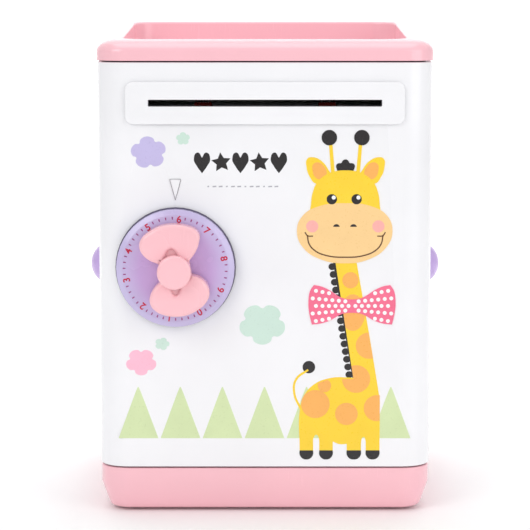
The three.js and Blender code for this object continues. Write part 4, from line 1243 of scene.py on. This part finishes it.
class BANK_OT_stage(BankPart, bpy.types.Operator):
    """Floor, backdrop, camera and soft lights"""
    bl_idname = "bank.stage"
    bl_label = "Stage"

    def make(self, scene):
        s = scene.bank_stage
        self.sweep(s)
        camera = bpy.data.cameras.new("Camera")
        camera.lens = s.lens
        camera.sensor_width = 36
        camera.clip_start = 0.01
        scene.camera = linked("Camera", camera)
        scene.camera.location = (0, -s.distance * MM, s.height * MM)
        scene.camera.rotation_euler = (math.radians(90 - s.pitch), 0, 0)
        world = bpy.data.worlds.new("Room")
        world.use_nodes = True
        room = world.node_tree.nodes["Background"]
        room.inputs["Color"].default_value = (1, 1, 1, 1)
        room.inputs["Strength"].default_value = s.world
        scene.world = world
        self.light("Key", s.key, 0.75, (-0.75, -0.95, 0.85))
        self.light("Fill", s.fill, 0.9, (0.95, -0.8, 0.5))
        self.light("Top", s.top, 0.9, (0.0, 0.1, 1.15))
        self.light("Wash", s.wash, 1.4, (0.0, 0.8, 1.1), (0, 1.9, 0.0))
        scene.view_settings.view_transform = "Standard"

    def light(self, name, power, width, place, target=(0, 0, 0.1)):
        """A square soft light that faces a target. Its width and places are in metres."""
        lamp = bpy.data.lights.new(name, "AREA")
        lamp.energy = power
        lamp.size = width
        holder = linked(name, lamp)
        holder.location = place
        aim = Vector(target) - Vector(place)
        holder.rotation_euler = aim.to_track_quat("-Z", "Y").to_euler()

    def sweep(self, s):
        """A floor that curves up into a backdrop."""
        shape = bmesh.new()
        half, front, back, height = 3.0, -3.0, 1.6, 3.0
        corners = [shape.verts.new((-half, y, z)) for y, z in ((front, 0), (back, 0), (back, height))]
        edges = [shape.edges.new(pair) for pair in zip(corners, corners[1:])]
        grown = bmesh.ops.extrude_edge_only(shape, edges=edges)
        moved = [v for v in grown["geom"] if isinstance(v, bmesh.types.BMVert)]
        bmesh.ops.translate(shape, vec=(2 * half, 0, 0), verts=moved)
        line = Vector((0, back, 0))
        fold = [e for e in shape.edges if all((v.co - line).yz.length < 1e-6 for v in e.verts)]
        bmesh.ops.bevel(
            shape, geom=fold, offset=0.8, segments=24, affect="EDGES", profile=0.5, material=-1,
        )
        bmesh.ops.recalc_face_normals(shape, faces=shape.faces)
        data = meshed("Sweep", shape)
        data.shade_smooth()
        f = Finish("pale_paper")
        tooth = f.noise(3, 4)
        data.materials.append(f.surface(
            Base_Color=f.blend(tooth, shade(s.floor, 0.985), s.floor),
            Roughness=0.75,
            Normal=f.bump(tooth, 0.02, 0.3),
        ))
        linked("Sweep", data)


# ---- the add-on -------------------------------------------------------------------------------

SETTINGS = {
    "bank_shell": BankShellSettings,
    "bank_dial": BankDialSettings,
    "bank_bow": BankBowSettings,
    "bank_print": BankPrintSettings,
    "bank_stage": BankStageSettings,
}
OPERATORS = (
    BANK_OT_shells, BANK_OT_side_domes, BANK_OT_dial, BANK_OT_bow, BANK_OT_garden, BANK_OT_motif,
    BANK_OT_giraffe, BANK_OT_lock, BANK_OT_feed, BANK_OT_electronics, BANK_OT_hardware, BANK_OT_stage,
)


class BANK_PT_parts(bpy.types.Panel):
    """Lists the bank's pieces in the order in which they are made"""
    bl_label = "Coin bank"
    bl_space_type = "VIEW_3D"
    bl_region_type = "UI"
    bl_category = "Coin bank"

    def draw(self, context):
        for operator in OPERATORS:
            self.layout.operator(operator.bl_idname)
        for name, group in SETTINGS.items():
            box = self.layout.box()
            for key in group.__annotations__:
                box.prop(getattr(context.scene, name), key)


CLASSES = (*SETTINGS.values(), *OPERATORS, BANK_PT_parts)


def register():
    for each in CLASSES:
        bpy.utils.register_class(each)
    for name, group in SETTINGS.items():
        setattr(bpy.types.Scene, name, bpy.props.PointerProperty(type=group))


def unregister():
    for name in SETTINGS:
        delattr(bpy.types.Scene, name)
    for each in reversed(CLASSES):
        bpy.utils.unregister_class(each)


def main():
    register()
    for operator in OPERATORS:
        group, call = operator.bl_idname.split(".")
        getattr(getattr(bpy.ops, group), call)()


if __name__ == "__main__":
    main()
